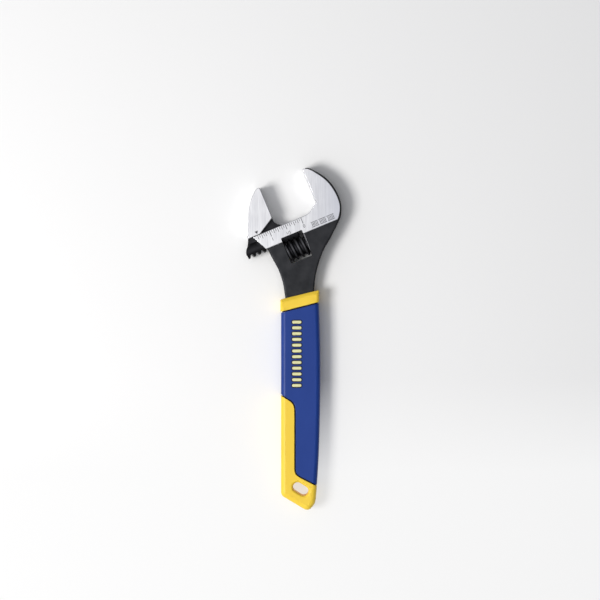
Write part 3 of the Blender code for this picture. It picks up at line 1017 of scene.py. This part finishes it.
@dataclass
class Forging:
    """The fixed jaw, worm housing, neck and shank: one forging, ground bright on its faces."""

    head: Head
    shank: Shank
    finishes: Finishes
    handle_place: Place
    head_place: Place
    black_inset: float = 0.8
    neck_top: float = 74.0
    neck_bottom: float = 40.0
    neck_levels: int = 24
    edge_round: float = 1.3
    band_edge: float = 0.4
    slot_clearance: float = 0.3
    window_corner: float = 0.9
    window_chamfer: float = 0.5
    window_lap: float = 0.05
    pin_hole: tuple[float, float] = (-55.0, -9.2)

    # ---- outlines ----------------------------------------------------------------
    def silhouette(self) -> list[Point]:
        """Outline of the black forging in the handle frame, set in behind the ground faces."""
        head, inset = self.head, self.black_inset

        def seen(u: float, v: float) -> Point:
            """Head-frame point in the handle frame."""
            return self.head_place.flat(self.handle_place, u, v)

        jaw = [seen(u, v) for u, v in (
            (2.4, 32.8), (4.6, 31.9), (7.3, 29.1), (12.4, 22.4), (15.6, 15.4), (17.3, 6.8),
            (17.0, -1.2), (14.7, -7.6), (11.3, -12.6))]
        right = [(28.0, 76.4), (23.1, 67.8), (19.7, 59.5), *self.shank.right]
        left = [*self.shank.left, (-11.4, 51.6), (-15.2, 58.8), (-18.6, 65.2)]
        top = [seen(u, v) for u, v in (
            (-47.2, -11.0), (head.track_left + 1.5, -inset - 0.6), (-8.6 + inset, -inset),
            (inset, head.throat - 0.4), (inset, head.reach - inset))]
        return curve(jaw + right) + list(self.shank.foot) + curve(left) + top

    def ground_outline(self) -> list[Point]:
        """Outline of the ground faces in the head frame."""
        head = self.head
        back = curve([(2.2, 32.2), (4.2, 31.2), (7.8, 27.0), (12.7, 19.3), (15.4, 11.2),
                      (16.2, 2.4), (15.0, -4.4), (12.0, -9.7), (10.0, -head.band)])
        return ([(0.0, head.throat), (0.0, head.reach - 0.5), (0.6, head.reach)] + back
                + [(-47.9, -head.band), (head.track_left, -0.4), (head.track_left + 0.4, 0.0)]
                + curve([(-13.0, 0.0), (-9.8, 0.25), (-7.6, 0.9)]))

    def half_thickness(self, y: float) -> float:
        """Half thickness of the forging at a place along the handle."""
        t = min(1.0, max(0.0, (y - self.neck_bottom) / (self.neck_top - self.neck_bottom)))
        return self.shank.half + (self.head.forged_half - self.shank.half) * t * t * (3 - 2 * t)

    # ---- solids ------------------------------------------------------------------
    def blank(self) -> bpy.types.Object:
        """Black forging before it is ground or cut, thinning down the neck."""
        solid = Solid.prism(self.silhouette(), 1.0)
        stops = [self.neck_bottom + (self.neck_top - self.neck_bottom) * step / self.neck_levels
                 for step in range(self.neck_levels + 1)]
        for y in stops:
            solid.slice((0, y, 0), (0, 1, 0))
        for vert in solid.shape.verts:
            below = max([y for y in stops if y <= vert.co.y + SAME], default=stops[0])
            above = min([y for y in stops if y >= vert.co.y - SAME], default=stops[-1])
            share = (vert.co.y - below) / (above - below) if above > below else 0.0
            low, high = self.half_thickness(below), self.half_thickness(above)
            vert.co.z *= low + (high - low) * share
        solid.bevel(solid.rims(), self.edge_round, 6)
        return solid.place("forged_body", self.handle_place, self.finishes.oxide)

    def window_edge(self, side: int) -> Solid:
        """Flare that chamfers the worm window's edges in the black forging, on one face. The chamfer's
        light grey is partly edge wear and partly a painted highlight.
        """
        low_u, high_u, low_v, _ = self.head.window
        top = -self.head.band + self.window_lap
        reach = self.window_chamfer
        inner = self.head.forged_half - reach
        solid = Solid.block((low_u, low_v, inner), (high_u, top, inner + 2 * reach))
        for vert in solid.shape.verts:
            if vert.co.z > inner + reach:
                vert.co.x += 2 * reach if vert.co.x > (low_u + high_u) / 2 else -2 * reach
                if vert.co.y < (low_v + top) / 2:
                    vert.co.y -= reach / 2
        bmesh.ops.scale(solid.shape, vec=(1, 1, side), verts=solid.shape.verts)
        solid.face_outward()
        return solid

    def build(self) -> bpy.types.Object:
        """Cut and finish the forging.

        Returns:
            The piece, riding on the frame.
        """
        head, place, finishes = self.head, self.head_place, self.finishes
        ground = Solid.prism(self.ground_outline(), head.ground_half)
        ground.bevel(ground.rims(), self.band_edge, 4).set_apart(is_rim)
        low_u, high_u, low_v, high_v = head.window
        corners = [(low_u, low_v), (high_u, low_v), (high_u, high_v), (low_u, high_v)]
        window = Solid.prism(cornered([(*corner, self.window_corner) for corner in corners]), THROUGH)
        bore = Solid.rod(head.stem_radius + head.gap, head.past_left, head.past_right, head.stem_v,
                         head.stem_sides)
        pin_hole = Solid.rod(head.pin_radius + head.gap, *self.pin_hole, head.worm_v,
                             head.pin_hole_sides)
        slot_room = Solid.prism(head.slot_outline(), head.web_half + self.slot_clearance)
        body = self.blank()
        work(body,
             (Cut.JOIN, ground.place("ground_faces", place, finishes.ground, finishes.rim)),
             (Cut.REMOVE, slot_room.place("web_slot", place, finishes.oxide)),
             (Cut.REMOVE, bore.place("stem_bore", place, finishes.oxide)),
             (Cut.REMOVE, window.place("worm_window", place, finishes.oxide)),
             (Cut.REMOVE, self.window_edge(1).place("upper_window_edge", place, finishes.edge)),
             (Cut.REMOVE, self.window_edge(-1).place("lower_window_edge", place, finishes.edge)),
             (Cut.REMOVE, pin_hole.place("pin_hole", place, finishes.oxide)),
             *[(Cut.REMOVE, mark) for mark in Engraving(head, finishes, place).build()])
        smooth(body, sharp_over=32.0)
        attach(body, "frame")
        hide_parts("body")
        return body


@dataclass
class SlidingJaw:
    """The movable jaw: ground jaw, black web, and round stem with its rack; web, stem and rack carry
    darker oxide as painted shade.
    """

    head: Head
    finishes: Finishes
    place: Place
    clearance: float = 0.2
    edge: float = 0.4
    root_round: float = 0.3
    stem_chamfer: float = 0.7
    pointer_tip: Point = (-49.7, 0.9)
    pointer_high: float = 2.3
    pointer_half: float = 1.35
    pointer_deep: float = 0.3

    def jaw_outline(self) -> list[Point]:
        """Outline of the ground jaw."""
        head = self.head
        back = curve([(-37.0, 32.4), (-39.2, 31.1), (-44.0, 26.5), (-49.2, 18.9), (-54.9, 6.7),
                      (-57.2, 1.1), (-57.5, self.clearance)])
        return ([(-48.0, self.clearance), (-head.opening, 7.9), (-head.opening, head.reach - 0.9),
                 (-head.opening - 0.5, head.reach - 0.4)] + back)

    def web_outline(self) -> list[Point]:
        """Outline of the web, from its foot to the end of the stem."""
        head = self.head
        foot = curve([(-28.6, -1.2), (-28.8, -0.1), (-30.8, 0.7), (-32.4, 1.7), (-34.0, 3.5),
                      (-head.opening, 5.6), (-head.opening - 0.1, 8.6)])
        end = curve([(-57.4, 2.2), (-57.8, -0.3), (-60.2, -4.9), (-62.6, -8.0),
                     (head.stem_left, -10.4)])
        tail = [(-62.6, head.stem_v - 3.6), (-58.0, head.stem_v - 3.6)]
        return [(-28.6, head.stem_v)] + foot + [(-44.0, 8.6)] + end + tail

    def rack_gaps(self) -> Solid:
        """Cutters for the troughs between the teeth, slanted to suit the worm."""
        head = self.head
        solid = Solid()
        lead = head.pitch / (2 * math.pi * head.mesh_radius)
        mesh_v = head.worm_v + head.mesh_radius
        for index in range(math.ceil((head.stem_right - head.stem_left) / head.pitch)):
            middle = head.first_tooth + head.pitch * (index + 0.5)
            outline = []
            for v, side in ((head.tooth_root_v, -1), (head.tooth_tip_v - 2 * PAST, -1),
                            (head.tooth_tip_v - 2 * PAST, 1), (head.tooth_root_v, 1)):
                outline.append((middle + side * (head.pitch / 4 + head.flank * (mesh_v - v)), v))
            trough = Solid.prism(outline, head.stem_radius + PAST)
            root = [edge for edge in trough.shape.edges
                    if all(abs(vert.co.y - head.tooth_root_v) < SAME for vert in edge.verts)
                    and abs(edge.verts[0].co.z - edge.verts[1].co.z) > SAME]
            trough.bevel(root, self.root_round, 3)
            for vert in trough.shape.verts:
                vert.co.x += lead * vert.co.z
            solid.take(trough)
        return solid

    def stem(self) -> bpy.types.Object:
        """Round stem, flat along its teeth and rounded off at its outer end."""
        # The stem's oxide is the darker one: painted shade.
        head, place, oxide = self.head, self.place, self.finishes.stem
        left, low = head.past_left, head.stem_v - 2 * head.stem_radius
        rod = Solid.rod(head.stem_radius, head.stem_left - PAST, head.stem_right, head.stem_v,
                        head.stem_sides)
        far_rim = [edge for edge in rod.shape.edges
                   if all(abs(vert.co.x - head.stem_right) < SAME for vert in edge.verts)]
        rod.bevel(far_rim, self.stem_chamfer, 3)
        beyond = ([(left, 4.0), (-57.9, 0.4)]
                  + curve([(-58.6, -2.0), (-60.2, -4.9), (-62.3, -7.6), (head.stem_left, -10.4)])
                  + [(-62.8, -12.6), (-62.8, low), (left, low)])
        flat = Solid.block((left, low, -THROUGH),
                           (head.stem_right + PAST, head.tooth_tip_v, THROUGH))
        return work(rod.place("stem", place, oxide),
                    (Cut.REMOVE, Solid.prism(beyond, THROUGH).place("beyond_stem", place, oxide)),
                    (Cut.REMOVE, flat.place("stem_flat", place, oxide)))

    def pointer(self) -> Solid:
        """Cutter for the small arrow that reads the scale."""
        (u, tip), half = self.pointer_tip, self.pointer_half
        top, floor = tip + self.pointer_high, self.head.ground_half - self.pointer_deep
        return Solid.prism([(u - half, top), (u + half, top), (u, tip)], floor + PAST, floor)

    def build(self) -> bpy.types.Object:
        """Join and finish the jaw.

        Returns:
            The piece, riding on the jaw.
        """
        head, place, finishes = self.head, self.place, self.finishes
        jaw = Solid.prism(self.jaw_outline(), head.ground_half)
        jaw.bevel(jaw.rims(), self.edge, 4).set_apart(is_rim)
        web = Solid.prism(self.web_outline(), head.web_half)
        # The web, stem and rack gaps take the darker oxide: painted shade.
        thing = work(jaw.place("sliding_jaw", place, finishes.ground, finishes.rim),
                     (Cut.JOIN, web.place("web", place, finishes.stem)),
                     (Cut.JOIN, self.stem()),
                     (Cut.REMOVE, self.rack_gaps().place("rack_gaps", place, finishes.stem)),
                     (Cut.REMOVE, self.pointer().place("pointer", place, finishes.engraving)))
        smooth(thing, sharp_over=32.0)
        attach(thing, "jaw")
        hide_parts("movable_jaw")
        return thing


@dataclass
class WormDrive:
    """The thumb worm with its pin and spring."""

    head: Head
    finishes: Finishes
    place: Place
    flank_clearance: float = 0.25
    crest_break: float = 0.22
    root_round: float = 0.35
    sides: int = 96
    bore_ends: tuple[float, float] = (-40.0, -12.0)
    pocket_radius: float = 3.9
    pocket_depth: float = 5.0
    pin_chamfer: float = 0.3
    pin_sides: int = 64
    driver_slot_half: float = 0.45
    wire: float = 0.35
    wire_play: float = 0.1
    wire_sides: int = 12
    coil_radius: float = 3.2
    coil_turns: float = 4.0
    coil_sides: int = 40

    def thread_profile(self) -> list[Point]:
        """One pitch of the thread as (along, radius), its crest's corners broken."""
        head, break_size = self.head, self.crest_break

        def half_land(radius: float) -> float:
            """Half the thread's width at a radius."""
            return head.pitch / 4 - head.flank * (radius - head.mesh_radius) - self.flank_clearance

        crest, foot = half_land(head.worm_radius), half_land(head.worm_root) + 0.8 * self.root_round
        shoulder, hollow = head.worm_radius - break_size, head.worm_root + self.root_round
        return [(-half_land(shoulder), shoulder), (-crest + break_size, head.worm_radius),
                (crest - break_size, head.worm_radius), (half_land(shoulder), shoulder),
                (half_land(hollow), hollow), (foot, head.worm_root),
                (head.pitch - foot, head.worm_root), (head.pitch - half_land(hollow), hollow)]

    def is_crest(self, face: bmesh.types.BMFace) -> bool:
        """Whether a face of the worm lies on its thread's crest, which gets a painted highlight."""
        middle = face.calc_center_median()
        away = math.hypot(middle.y - self.head.worm_v, middle.z)
        return away > self.head.worm_radius - self.crest_break

    def worm(self) -> bpy.types.Object:
        """Right-hand worm in mesh with the rack, bored for its pin and spring."""
        head, place, finishes = self.head, self.place, self.finishes
        low, high = head.worm_middle - head.worm_length / 2, head.worm_middle + head.worm_length / 2
        # The thread starts in a trough of the rack, before the worm, and is cut off at both ends.
        turns = math.ceil(head.worm_length / head.pitch) + 4
        pitches_on = math.floor((low - head.first_tooth) / head.pitch) - 2.5
        first = head.first_tooth + head.pitch * pitches_on
        solid = Solid()
        verts = [solid.shape.verts.new((first + head.pitch * turn + along, head.worm_v + away, 0))
                 for turn in range(turns) for along, away in self.thread_profile()]
        edges = [solid.shape.edges.new(pair) for pair in zip(verts, verts[1:])]
        bmesh.ops.spin(solid.shape, geom=verts + edges, cent=(0, head.worm_v, 0), axis=(1, 0, 0),
                       dvec=(head.pitch / self.sides, 0, 0), angle=2 * math.pi, steps=self.sides,
                       use_duplicate=False)
        bmesh.ops.remove_doubles(solid.shape, verts=solid.shape.verts, dist=SAME)
        solid.slice((high, 0, 0), (1, 0, 0), clear=True)
        solid.slice((low, 0, 0), (-1, 0, 0), clear=True)
        solid.face_outward()
        # The crests take the lighter oxide: a painted highlight.
        solid.set_apart(self.is_crest)
        bore = Solid.rod(head.pin_radius + head.gap, *self.bore_ends, head.worm_v,
                         head.pin_hole_sides)
        pocket = Solid.rod(self.pocket_radius, high - self.pocket_depth, self.bore_ends[1],
                           head.worm_v, head.pin_hole_sides)
        thing = work(solid.place("thumb_worm", place, finishes.worm, finishes.crest),
                     (Cut.REMOVE, bore.place("worm_bore", place, finishes.worm)),
                     (Cut.REMOVE, pocket.place("spring_pocket", place, finishes.worm)))
        smooth(thing, sharp_over=30.0)
        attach(thing, "worm")
        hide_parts("worm")
        return thing

    def pin(self) -> bpy.types.Object:
        """Pin that the worm turns on, with a screwdriver slot in its head."""
        (low, high), half = self.head.pin_ends, self.driver_slot_half
        radius, chamfer, v = self.head.pin_radius, self.pin_chamfer, self.head.worm_v
        profile = [(low, 0.0), (low, radius - chamfer), (low + chamfer, radius),
                   (high - chamfer, radius), (high, radius - chamfer), (high, 0.0)]
        driver_slot = Solid.block((low - PAST, v - radius - PAST, -half),
                                  (low + PAST, v + radius + PAST, half))
        finish = self.finishes.worm
        thing = work(Solid.turned(profile, v, self.pin_sides).place("slotted_pin", self.place, finish),
                     (Cut.REMOVE, driver_slot.place("driver_slot", self.place, finish)))
        smooth(thing, sharp_over=30.0)
        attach(thing, "frame")
        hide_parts("worm_pin")
        return thing

    def spring(self) -> bpy.types.Object:
        """Coil spring on the pin, in the worm's pocket."""
        head = self.head
        room = self.wire + self.wire_play
        low = head.worm_middle + head.worm_length / 2 - self.pocket_depth + room
        high = head.window[1] - room
        steps = round(self.coil_turns * self.coil_sides)
        solid = Solid()
        start = Matrix.Translation((low, head.worm_v + self.coil_radius, 0))
        bmesh.ops.create_circle(solid.shape, cap_ends=False, radius=self.wire,
                                segments=self.wire_sides, matrix=start)
        bmesh.ops.spin(solid.shape, geom=solid.shape.verts[:] + solid.shape.edges[:],
                       cent=(0, head.worm_v, 0), axis=(1, 0, 0), dvec=((high - low) / steps, 0, 0),
                       angle=2 * math.pi * self.coil_turns, steps=steps, use_duplicate=False)
        ends = [edge for edge in solid.shape.edges if edge.is_boundary]
        bmesh.ops.holes_fill(solid.shape, edges=ends)
        solid.face_outward()
        thing = solid.place("coil_spring", self.place, self.finishes.wire)
        smooth(thing, sharp_over=50.0)
        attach(thing, "frame")
        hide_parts("worm_spring")
        return thing

    def build(self) -> list[bpy.types.Object]:
        """Worm, pin and spring."""
        return [self.worm(), self.pin(), self.spring()]


# ==== Grip ============================================================================
@dataclass
class Grip:
    """Yellow core with collar, spine and heel, and the blue sleeve moulded round it."""

    shank: Shank
    finishes: Finishes
    place: Place
    half: float = 8.5
    left: float = -9.5
    past_left: float = -20.0
    past_right: float = 30.0
    edge_round: float = 3.6
    skin: float = 2.2
    gap: float = 0.3
    groove: float = 1.0
    groove_edge: float = 0.35
    groove_depth: float = 0.9
    groove_overlap: float = 0.08
    collar_line: tuple[Point, Point] = ((-10.0, 19.8), (19.0, 27.2))
    collar_end: tuple[float, float] = (29.5, 36.6)
    collar_round: float = 2.6
    collar_slope_wide: float = 2.8
    collar_slope_deep: float = 2.3
    collar_lip: float = 0.3
    collar_corner: float = 0.9
    collar_clear: float = 20.0
    hang_middle: Point = (5.2, -112.1)
    hang_long: float = 12.5
    hang_wide: float = 7.2
    hang_tilt: float = math.radians(-32.5)
    hang_round: float = 1.7
    marks: int = 12
    marks_x: float = 2.3
    mark_long: float = 7.0
    mark_wide: float = 2.2
    marks_top: float = 12.6
    marks_pitch: float = 4.3
    marks_sunk: float = 0.3
    mark_proud: float = 0.22
    # Dark borders round the marks: a painted shadow.
    shadow_border_wide: float = 0.7
    shadow_border_proud: float = 0.10

    # ---- outlines ----------------------------------------------------------------
    def outline(self) -> list[Point]:
        """Silhouette of the grip, from the collar's corner clockwise."""
        right = curve([(18.9, 27.0), (19.8, -4.6), (19.95, -30.1), (19.5, -60.9), (18.7, -87.1),
                       (17.4, -108.9), (16.6, -119.0)], 6)
        heel = [(15.9, -123.0, 6.0), (10.9, -129.1, 4.3), (self.left, -116.9, 4.3)]
        return cornered([(self.left, 29.6), (19.0, 36.6)] + right + heel, 8)

    def collar_outline(self, sides: float, slope: float, foot: float) -> list[Point]:
        """Collar at the head end of the grip, at one height.

        Args:
            sides: how far its two sides are moved in.
            slope: how far its end beside the shank is moved in.
            foot: how far its end beside the groove is moved in.

        Returns:
            The outline, from the groove's left end clockwise.
        """
        (left, low), (right, high) = self.collar_line
        near_groove = (low + self.groove / 2 + foot, high + self.groove / 2 + foot)
        at_shank = [y - slope for y in self.collar_end]
        share = sides / (right - left)

        def corner(ends: list[float], along: float) -> Point:
            """Point on one of the collar's two slanted ends."""
            return (left + along * (right - left), ends[0] + along * (ends[1] - ends[0]))

        return [corner(near_groove, share), corner(at_shank, share),
                corner(at_shank, 1 - share), corner(near_groove, 1 - share)]

    def sleeve_region(self, inset: float, top_rise: float = 0.0) -> list[Point]:
        """Area of the blue sleeve, past the grip's own outline.

        Args:
            inset: how far the area stays back from the line between the colours.
            top_rise: how far its edge at the collar is moved up.

        Returns:
            The outline.
        """
        (left, low), (right, high) = self.collar_line
        slope = (high - low) / (right - left)
        top = [(x, low + slope * (x - left) + top_rise) for x in (self.past_left, self.past_right)]
        border = (top + [(self.past_right, -116.0), (17.3, -109.5)]
                  + curve([(5.0, -103.2), (2.2, -101.0), (1.05, -98.0)], 6)
                  + [(1.05, -56.0)]
                  + curve([(1.05, -54.6), (0.8, -51.6), (0.0, -48.8), (-2.0, -46.4)], 5)
                  + [(self.left, -41.8), (self.past_left, -36.4)])
        return grown(border, -inset)

    def shank_room(self) -> Solid:
        """Pocket for the forging's shank."""
        shank = self.shank
        outline = curve(list(shank.right), 4) + list(shank.foot) + curve(list(shank.left), 4)
        return Solid.prism(grown(outline, self.gap), shank.half + self.gap)

    def rounded_block(self, inset: float) -> Solid:
        """The grip's rounded block.

        Args:
            inset: how much smaller than the grip it is, all round.

        Returns:
            The block.
        """
        solid = Solid.prism(grown(self.outline(), -inset), self.half - inset)
        return solid.bevel(solid.rims(), self.edge_round - 0.6 * inset, 8)

    def collar(self) -> Solid:
        """Collar: rounded sides, a flat slope down to the shank, an eased rim at the groove."""
        steps = 8
        upper = []
        for step in range(steps + 1):
            angle = math.pi / 2 * step / steps
            down = self.collar_round * (1 - math.sin(angle))
            sides = self.collar_round * (1 - math.cos(angle))
            slope = self.collar_slope_wide * max(0.0, 1 - down / self.collar_slope_deep)
            rim = max(0.0, 1 - down / self.groove_edge)
            foot = self.groove_edge * (1 - math.sqrt(1 - rim ** 2))
            upper.append((self.collar_outline(sides, slope, foot), self.half - down))
        solid = Solid.stack([(outline, -height) for outline, height in reversed(upper)] + upper)
        middle_y = (self.collar_line[1][1] + self.collar_end[0]) / 2
        solid.bevel([edge for edge in solid.shape.edges if edge.verts[0].co.y > middle_y
                     and abs(edge.verts[0].co.z - edge.verts[1].co.z) > 0.01], self.collar_corner, 4)
        solid.shape.normal_update()
        lips = []
        for edge in solid.shape.edges:
            tilts = sorted(abs(face.normal.z) for face in edge.link_faces)
            upright_meets_slope = tilts[0] < 0.1 and 0.5 < tilts[-1] < 0.95
            if upright_meets_slope and edge.verts[0].co.y > middle_y:
                lips.append(edge)
        return solid.bevel(lips, self.collar_lip, 3)

    # ---- pieces --------------------------------------------------------------------
    def groove_floor(self) -> bpy.types.Object:
        """Floor that keeps the groove between the colours shallow; its dark colour is painted shade.
        """
        heart = self.finishes.heart
        inside = Solid.prism(self.sleeve_region(self.groove / 2 - self.groove_overlap), THROUGH)
        return work(self.rounded_block(self.groove_depth).place("groove_floor", self.place, heart),
                    (Cut.REMOVE, inside.place("inside_sleeve", self.place, heart)))

    def sleeve(self) -> bpy.types.Object:
        """Blue sleeve, open inside for the core."""
        blue = self.finishes.blue
        area = Solid.stack(flared(self.sleeve_region(self.groove / 2), self.half,
                                  self.groove_edge, -1))
        thing = work(self.rounded_block(0.0).place("blue_sleeve", self.place, blue),
                     (Cut.KEEP, area.place("sleeve_area", self.place, blue)),
                     (Cut.REMOVE,
                      self.rounded_block(self.skin).place("sleeve_inside", self.place, blue)))
        smooth(thing, sharp_over=40.0)
        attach(thing, "frame")
        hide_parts("grip_sleeve")
        return thing

    def core(self) -> bpy.types.Object:
        """Yellow core: collar, spine, heel, and the heart inside the sleeve."""
        yellow, heart, place = self.finishes.yellow, self.finishes.heart, self.place
        past_collar = self.sleeve_region(-self.groove / 2, top_rise=self.collar_clear)
        room = Solid.stack(flared(past_collar, self.half, self.groove_edge, 1))
        hang_slot = slot(self.hang_middle, self.hang_long, self.hang_wide, self.hang_tilt)
        hang_hole = Solid.stack(flared(hang_slot, self.half, self.hang_round, 1, steps=6))
        inner = self.rounded_block(self.skin + self.gap)
        thing = work(self.rounded_block(0.0).place("yellow_core", place, yellow),
                     (Cut.REMOVE, room.place("sleeve_room", place, yellow)),
                     (Cut.JOIN, self.collar().place("collar", place, yellow)),
                     (Cut.JOIN, self.groove_floor()),
                     (Cut.JOIN, inner.place("heart", place, heart)),
                     (Cut.REMOVE, self.shank_room().place("shank_room", place, yellow)),
                     (Cut.REMOVE, hang_hole.place("hang_hole", place, yellow)))
        smooth(thing, sharp_over=40.0)
        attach(thing, "frame")
        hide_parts("grip_core")
        return thing

    def mark_column(self, name: str, border: float, proud: float, finish: bpy.types.Material
                    ) -> bpy.types.Object:
        """Column of identical bars down the sleeve.

        Args:
            name: the piece's name.
            border: how much larger than the pale bars these are, all round.
            proud: how far they stand out of the sleeve.
            finish: their finish.

        Returns:
            The piece, riding on the frame.
        """
        column = Solid()
        for index in range(self.marks):
            middle = (self.marks_x, self.marks_top - self.marks_pitch * index)
            outline = slot(middle, self.mark_long + 2 * border, self.mark_wide + 2 * border, 0.0, 10)
            bar = Solid.prism(outline, self.half + proud, self.half - self.marks_sunk)
            column.take(bar.bevel(bar.rims(lower=False), 0.9 * proud, 2))
        thing = column.place(name, self.place, finish)
        smooth(thing, sharp_over=40.0)
        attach(thing, "frame")
        return thing

    def build(self) -> list[bpy.types.Object]:
        """Core, sleeve, and pale marks with dark borders round them: a painted shadow."""
        return [self.core(), self.sleeve(),
                self.mark_column("grip_marks", 0.0, self.mark_proud, self.finishes.pale),
                # Dark bars under the pale ones: a painted shadow round each mark.
                self.mark_column("mark_shadow_borders", self.shadow_border_wide, self.shadow_border_proud,
                                 self.finishes.heart)]


# ==== Studio ==========================================================================
@dataclass(frozen=True)
class Lamp:
    """Soft square lamp aimed at the wrench.

    Attributes:
        name: its name.
        place: where it hangs, in metres.
        size: its side, in metres.
        power: its watts.
        colour: its linear colour.
    """

    name: str
    place: tuple[float, float, float]
    size: float
    power: float
    colour: tuple[float, float, float] = (1.0, 1.0, 1.0)

    def hang(self) -> None:
        """Put the lamp in the scene."""
        data = bpy.data.lights.new(self.name, "AREA")
        data.shape = "SQUARE"
        data.size = self.size
        data.energy = self.power
        data.color = self.colour
        thing = bpy.data.objects.new(self.name, data)
        thing.location = self.place
        thing.rotation_euler = (-Vector(self.place)).to_track_quat("-Z", "Y").to_euler()
        bpy.context.collection.objects.link(thing)


@dataclass
class Studio:
    """Pale floor, soft light and the camera straight above."""

    view_width: float = 0.450
    view_middle: Point = (0.0047, 0.0291)
    lens: float = 135.0
    sensor: float = 36.0
    floor_size: float = 6.0
    floor_white: float = 0.95
    glow_at_head: float = 0.0
    glow_at_heel: float = 0.62
    glow_fade: tuple[float, float] = (-0.10, -0.03)
    floor_drop: float = 0.1 * MM
    lamps: tuple[Lamp, ...] = (Lamp("key", (-0.85, -0.25, 1.20), 0.5, 15.0, (1.0, 0.985, 0.96)),
                               Lamp("overhead", (-0.15, 0.0, 2.4), 2.4, 11.0))
    world_left: tuple[float, float, float] = (0.93, 0.95, 1.0)
    world_right: tuple[float, float, float] = (0.0, 0.0, 0.0)
    world_strength: float = 0.62

    def floor(self) -> None:
        """Pale floor; toward the heel it glows, so that it stays white in the hang hole."""
        shape = bmesh.new()
        bmesh.ops.create_grid(shape, x_segments=1, y_segments=1, size=self.floor_size / 2)
        mesh = bpy.data.meshes.new("floor")
        shape.to_mesh(mesh)
        shape.free()
        graph = Graph.new("floor_paint", Roughness=0.7, Specular_IOR_Level=0.2, Emission_Strength=1.0)
        toward_head = graph.along("Y", *self.glow_fade)
        glows = self.glow_at_heel, self.glow_at_head
        paints = [self.floor_white - glow for glow in glows]
        for socket, (at_heel, at_head) in (("Base Color", paints), ("Emission Color", glows)):
            graph.drive(socket, graph.tint(toward_head, (at_heel,) * 3, (at_head,) * 3))
        mesh.materials.append(graph.owner)
        mesh.transform(Matrix.Translation((0, 0, -self.floor_drop)))
        thing = bpy.data.objects.new("floor", mesh)
        bpy.context.collection.objects.link(thing)

    def camera(self) -> None:
        """Long-lens camera straight above, head of the wrench up."""
        data = bpy.data.cameras.new("camera")
        data.lens = self.lens
        data.sensor_width = self.sensor
        thing = bpy.data.objects.new("camera", data)
        middle = (CAD_BOX[0].z + CAD_BOX[1].z) / 2
        thing.location = (*self.view_middle, middle + self.view_width * self.lens / self.sensor)
        bpy.context.collection.objects.link(thing)
        bpy.context.scene.camera = thing

    def world(self) -> None:
        """Pale surroundings, fading to a dark wall on the right."""
        world = bpy.data.worlds.new("surroundings")
        graph = Graph(world, "Background", Strength=self.world_strength)
        direction = graph.add("ShaderNodeTexCoord", {}, {})
        parts = graph.add("ShaderNodeSeparateXYZ", {},
                          {0: Signal(graph, direction.outputs["Generated"])})
        rightward = graph.spread(Signal(graph, parts.outputs["X"]), -1.0, 1.0)
        graph.drive("Color", graph.tint(rightward, self.world_left, self.world_right))
        bpy.context.scene.world = world

    def build(self) -> None:
        """Set the stage, lights and camera."""
        bpy.context.scene.view_settings.view_transform = "Standard"
        self.world()
        self.floor()
        for lamp in self.lamps:
            lamp.hang()
        self.camera()


def main() -> None:
    """Build the wrench and its studio, and log each piece."""
    logging.basicConfig(level=logging.INFO, format="%(name)s: %(message)s")
    finishes, head, shank = Finishes(), Head(), Shank()
    handle_place, head_place = Place.handle(), Place.head()
    pieces = [Forging(head, shank, finishes, handle_place, head_place).build(),
              SlidingJaw(head, finishes, head_place).build(),
              *WormDrive(head, finishes, head_place).build(),
              *Grip(shank, finishes, handle_place).build()]
    for piece in pieces:
        LOG.info("%s: %d faces", piece.name, len(piece.data.polygons))
    Studio().build()


if __name__ == "__main__":
    main()
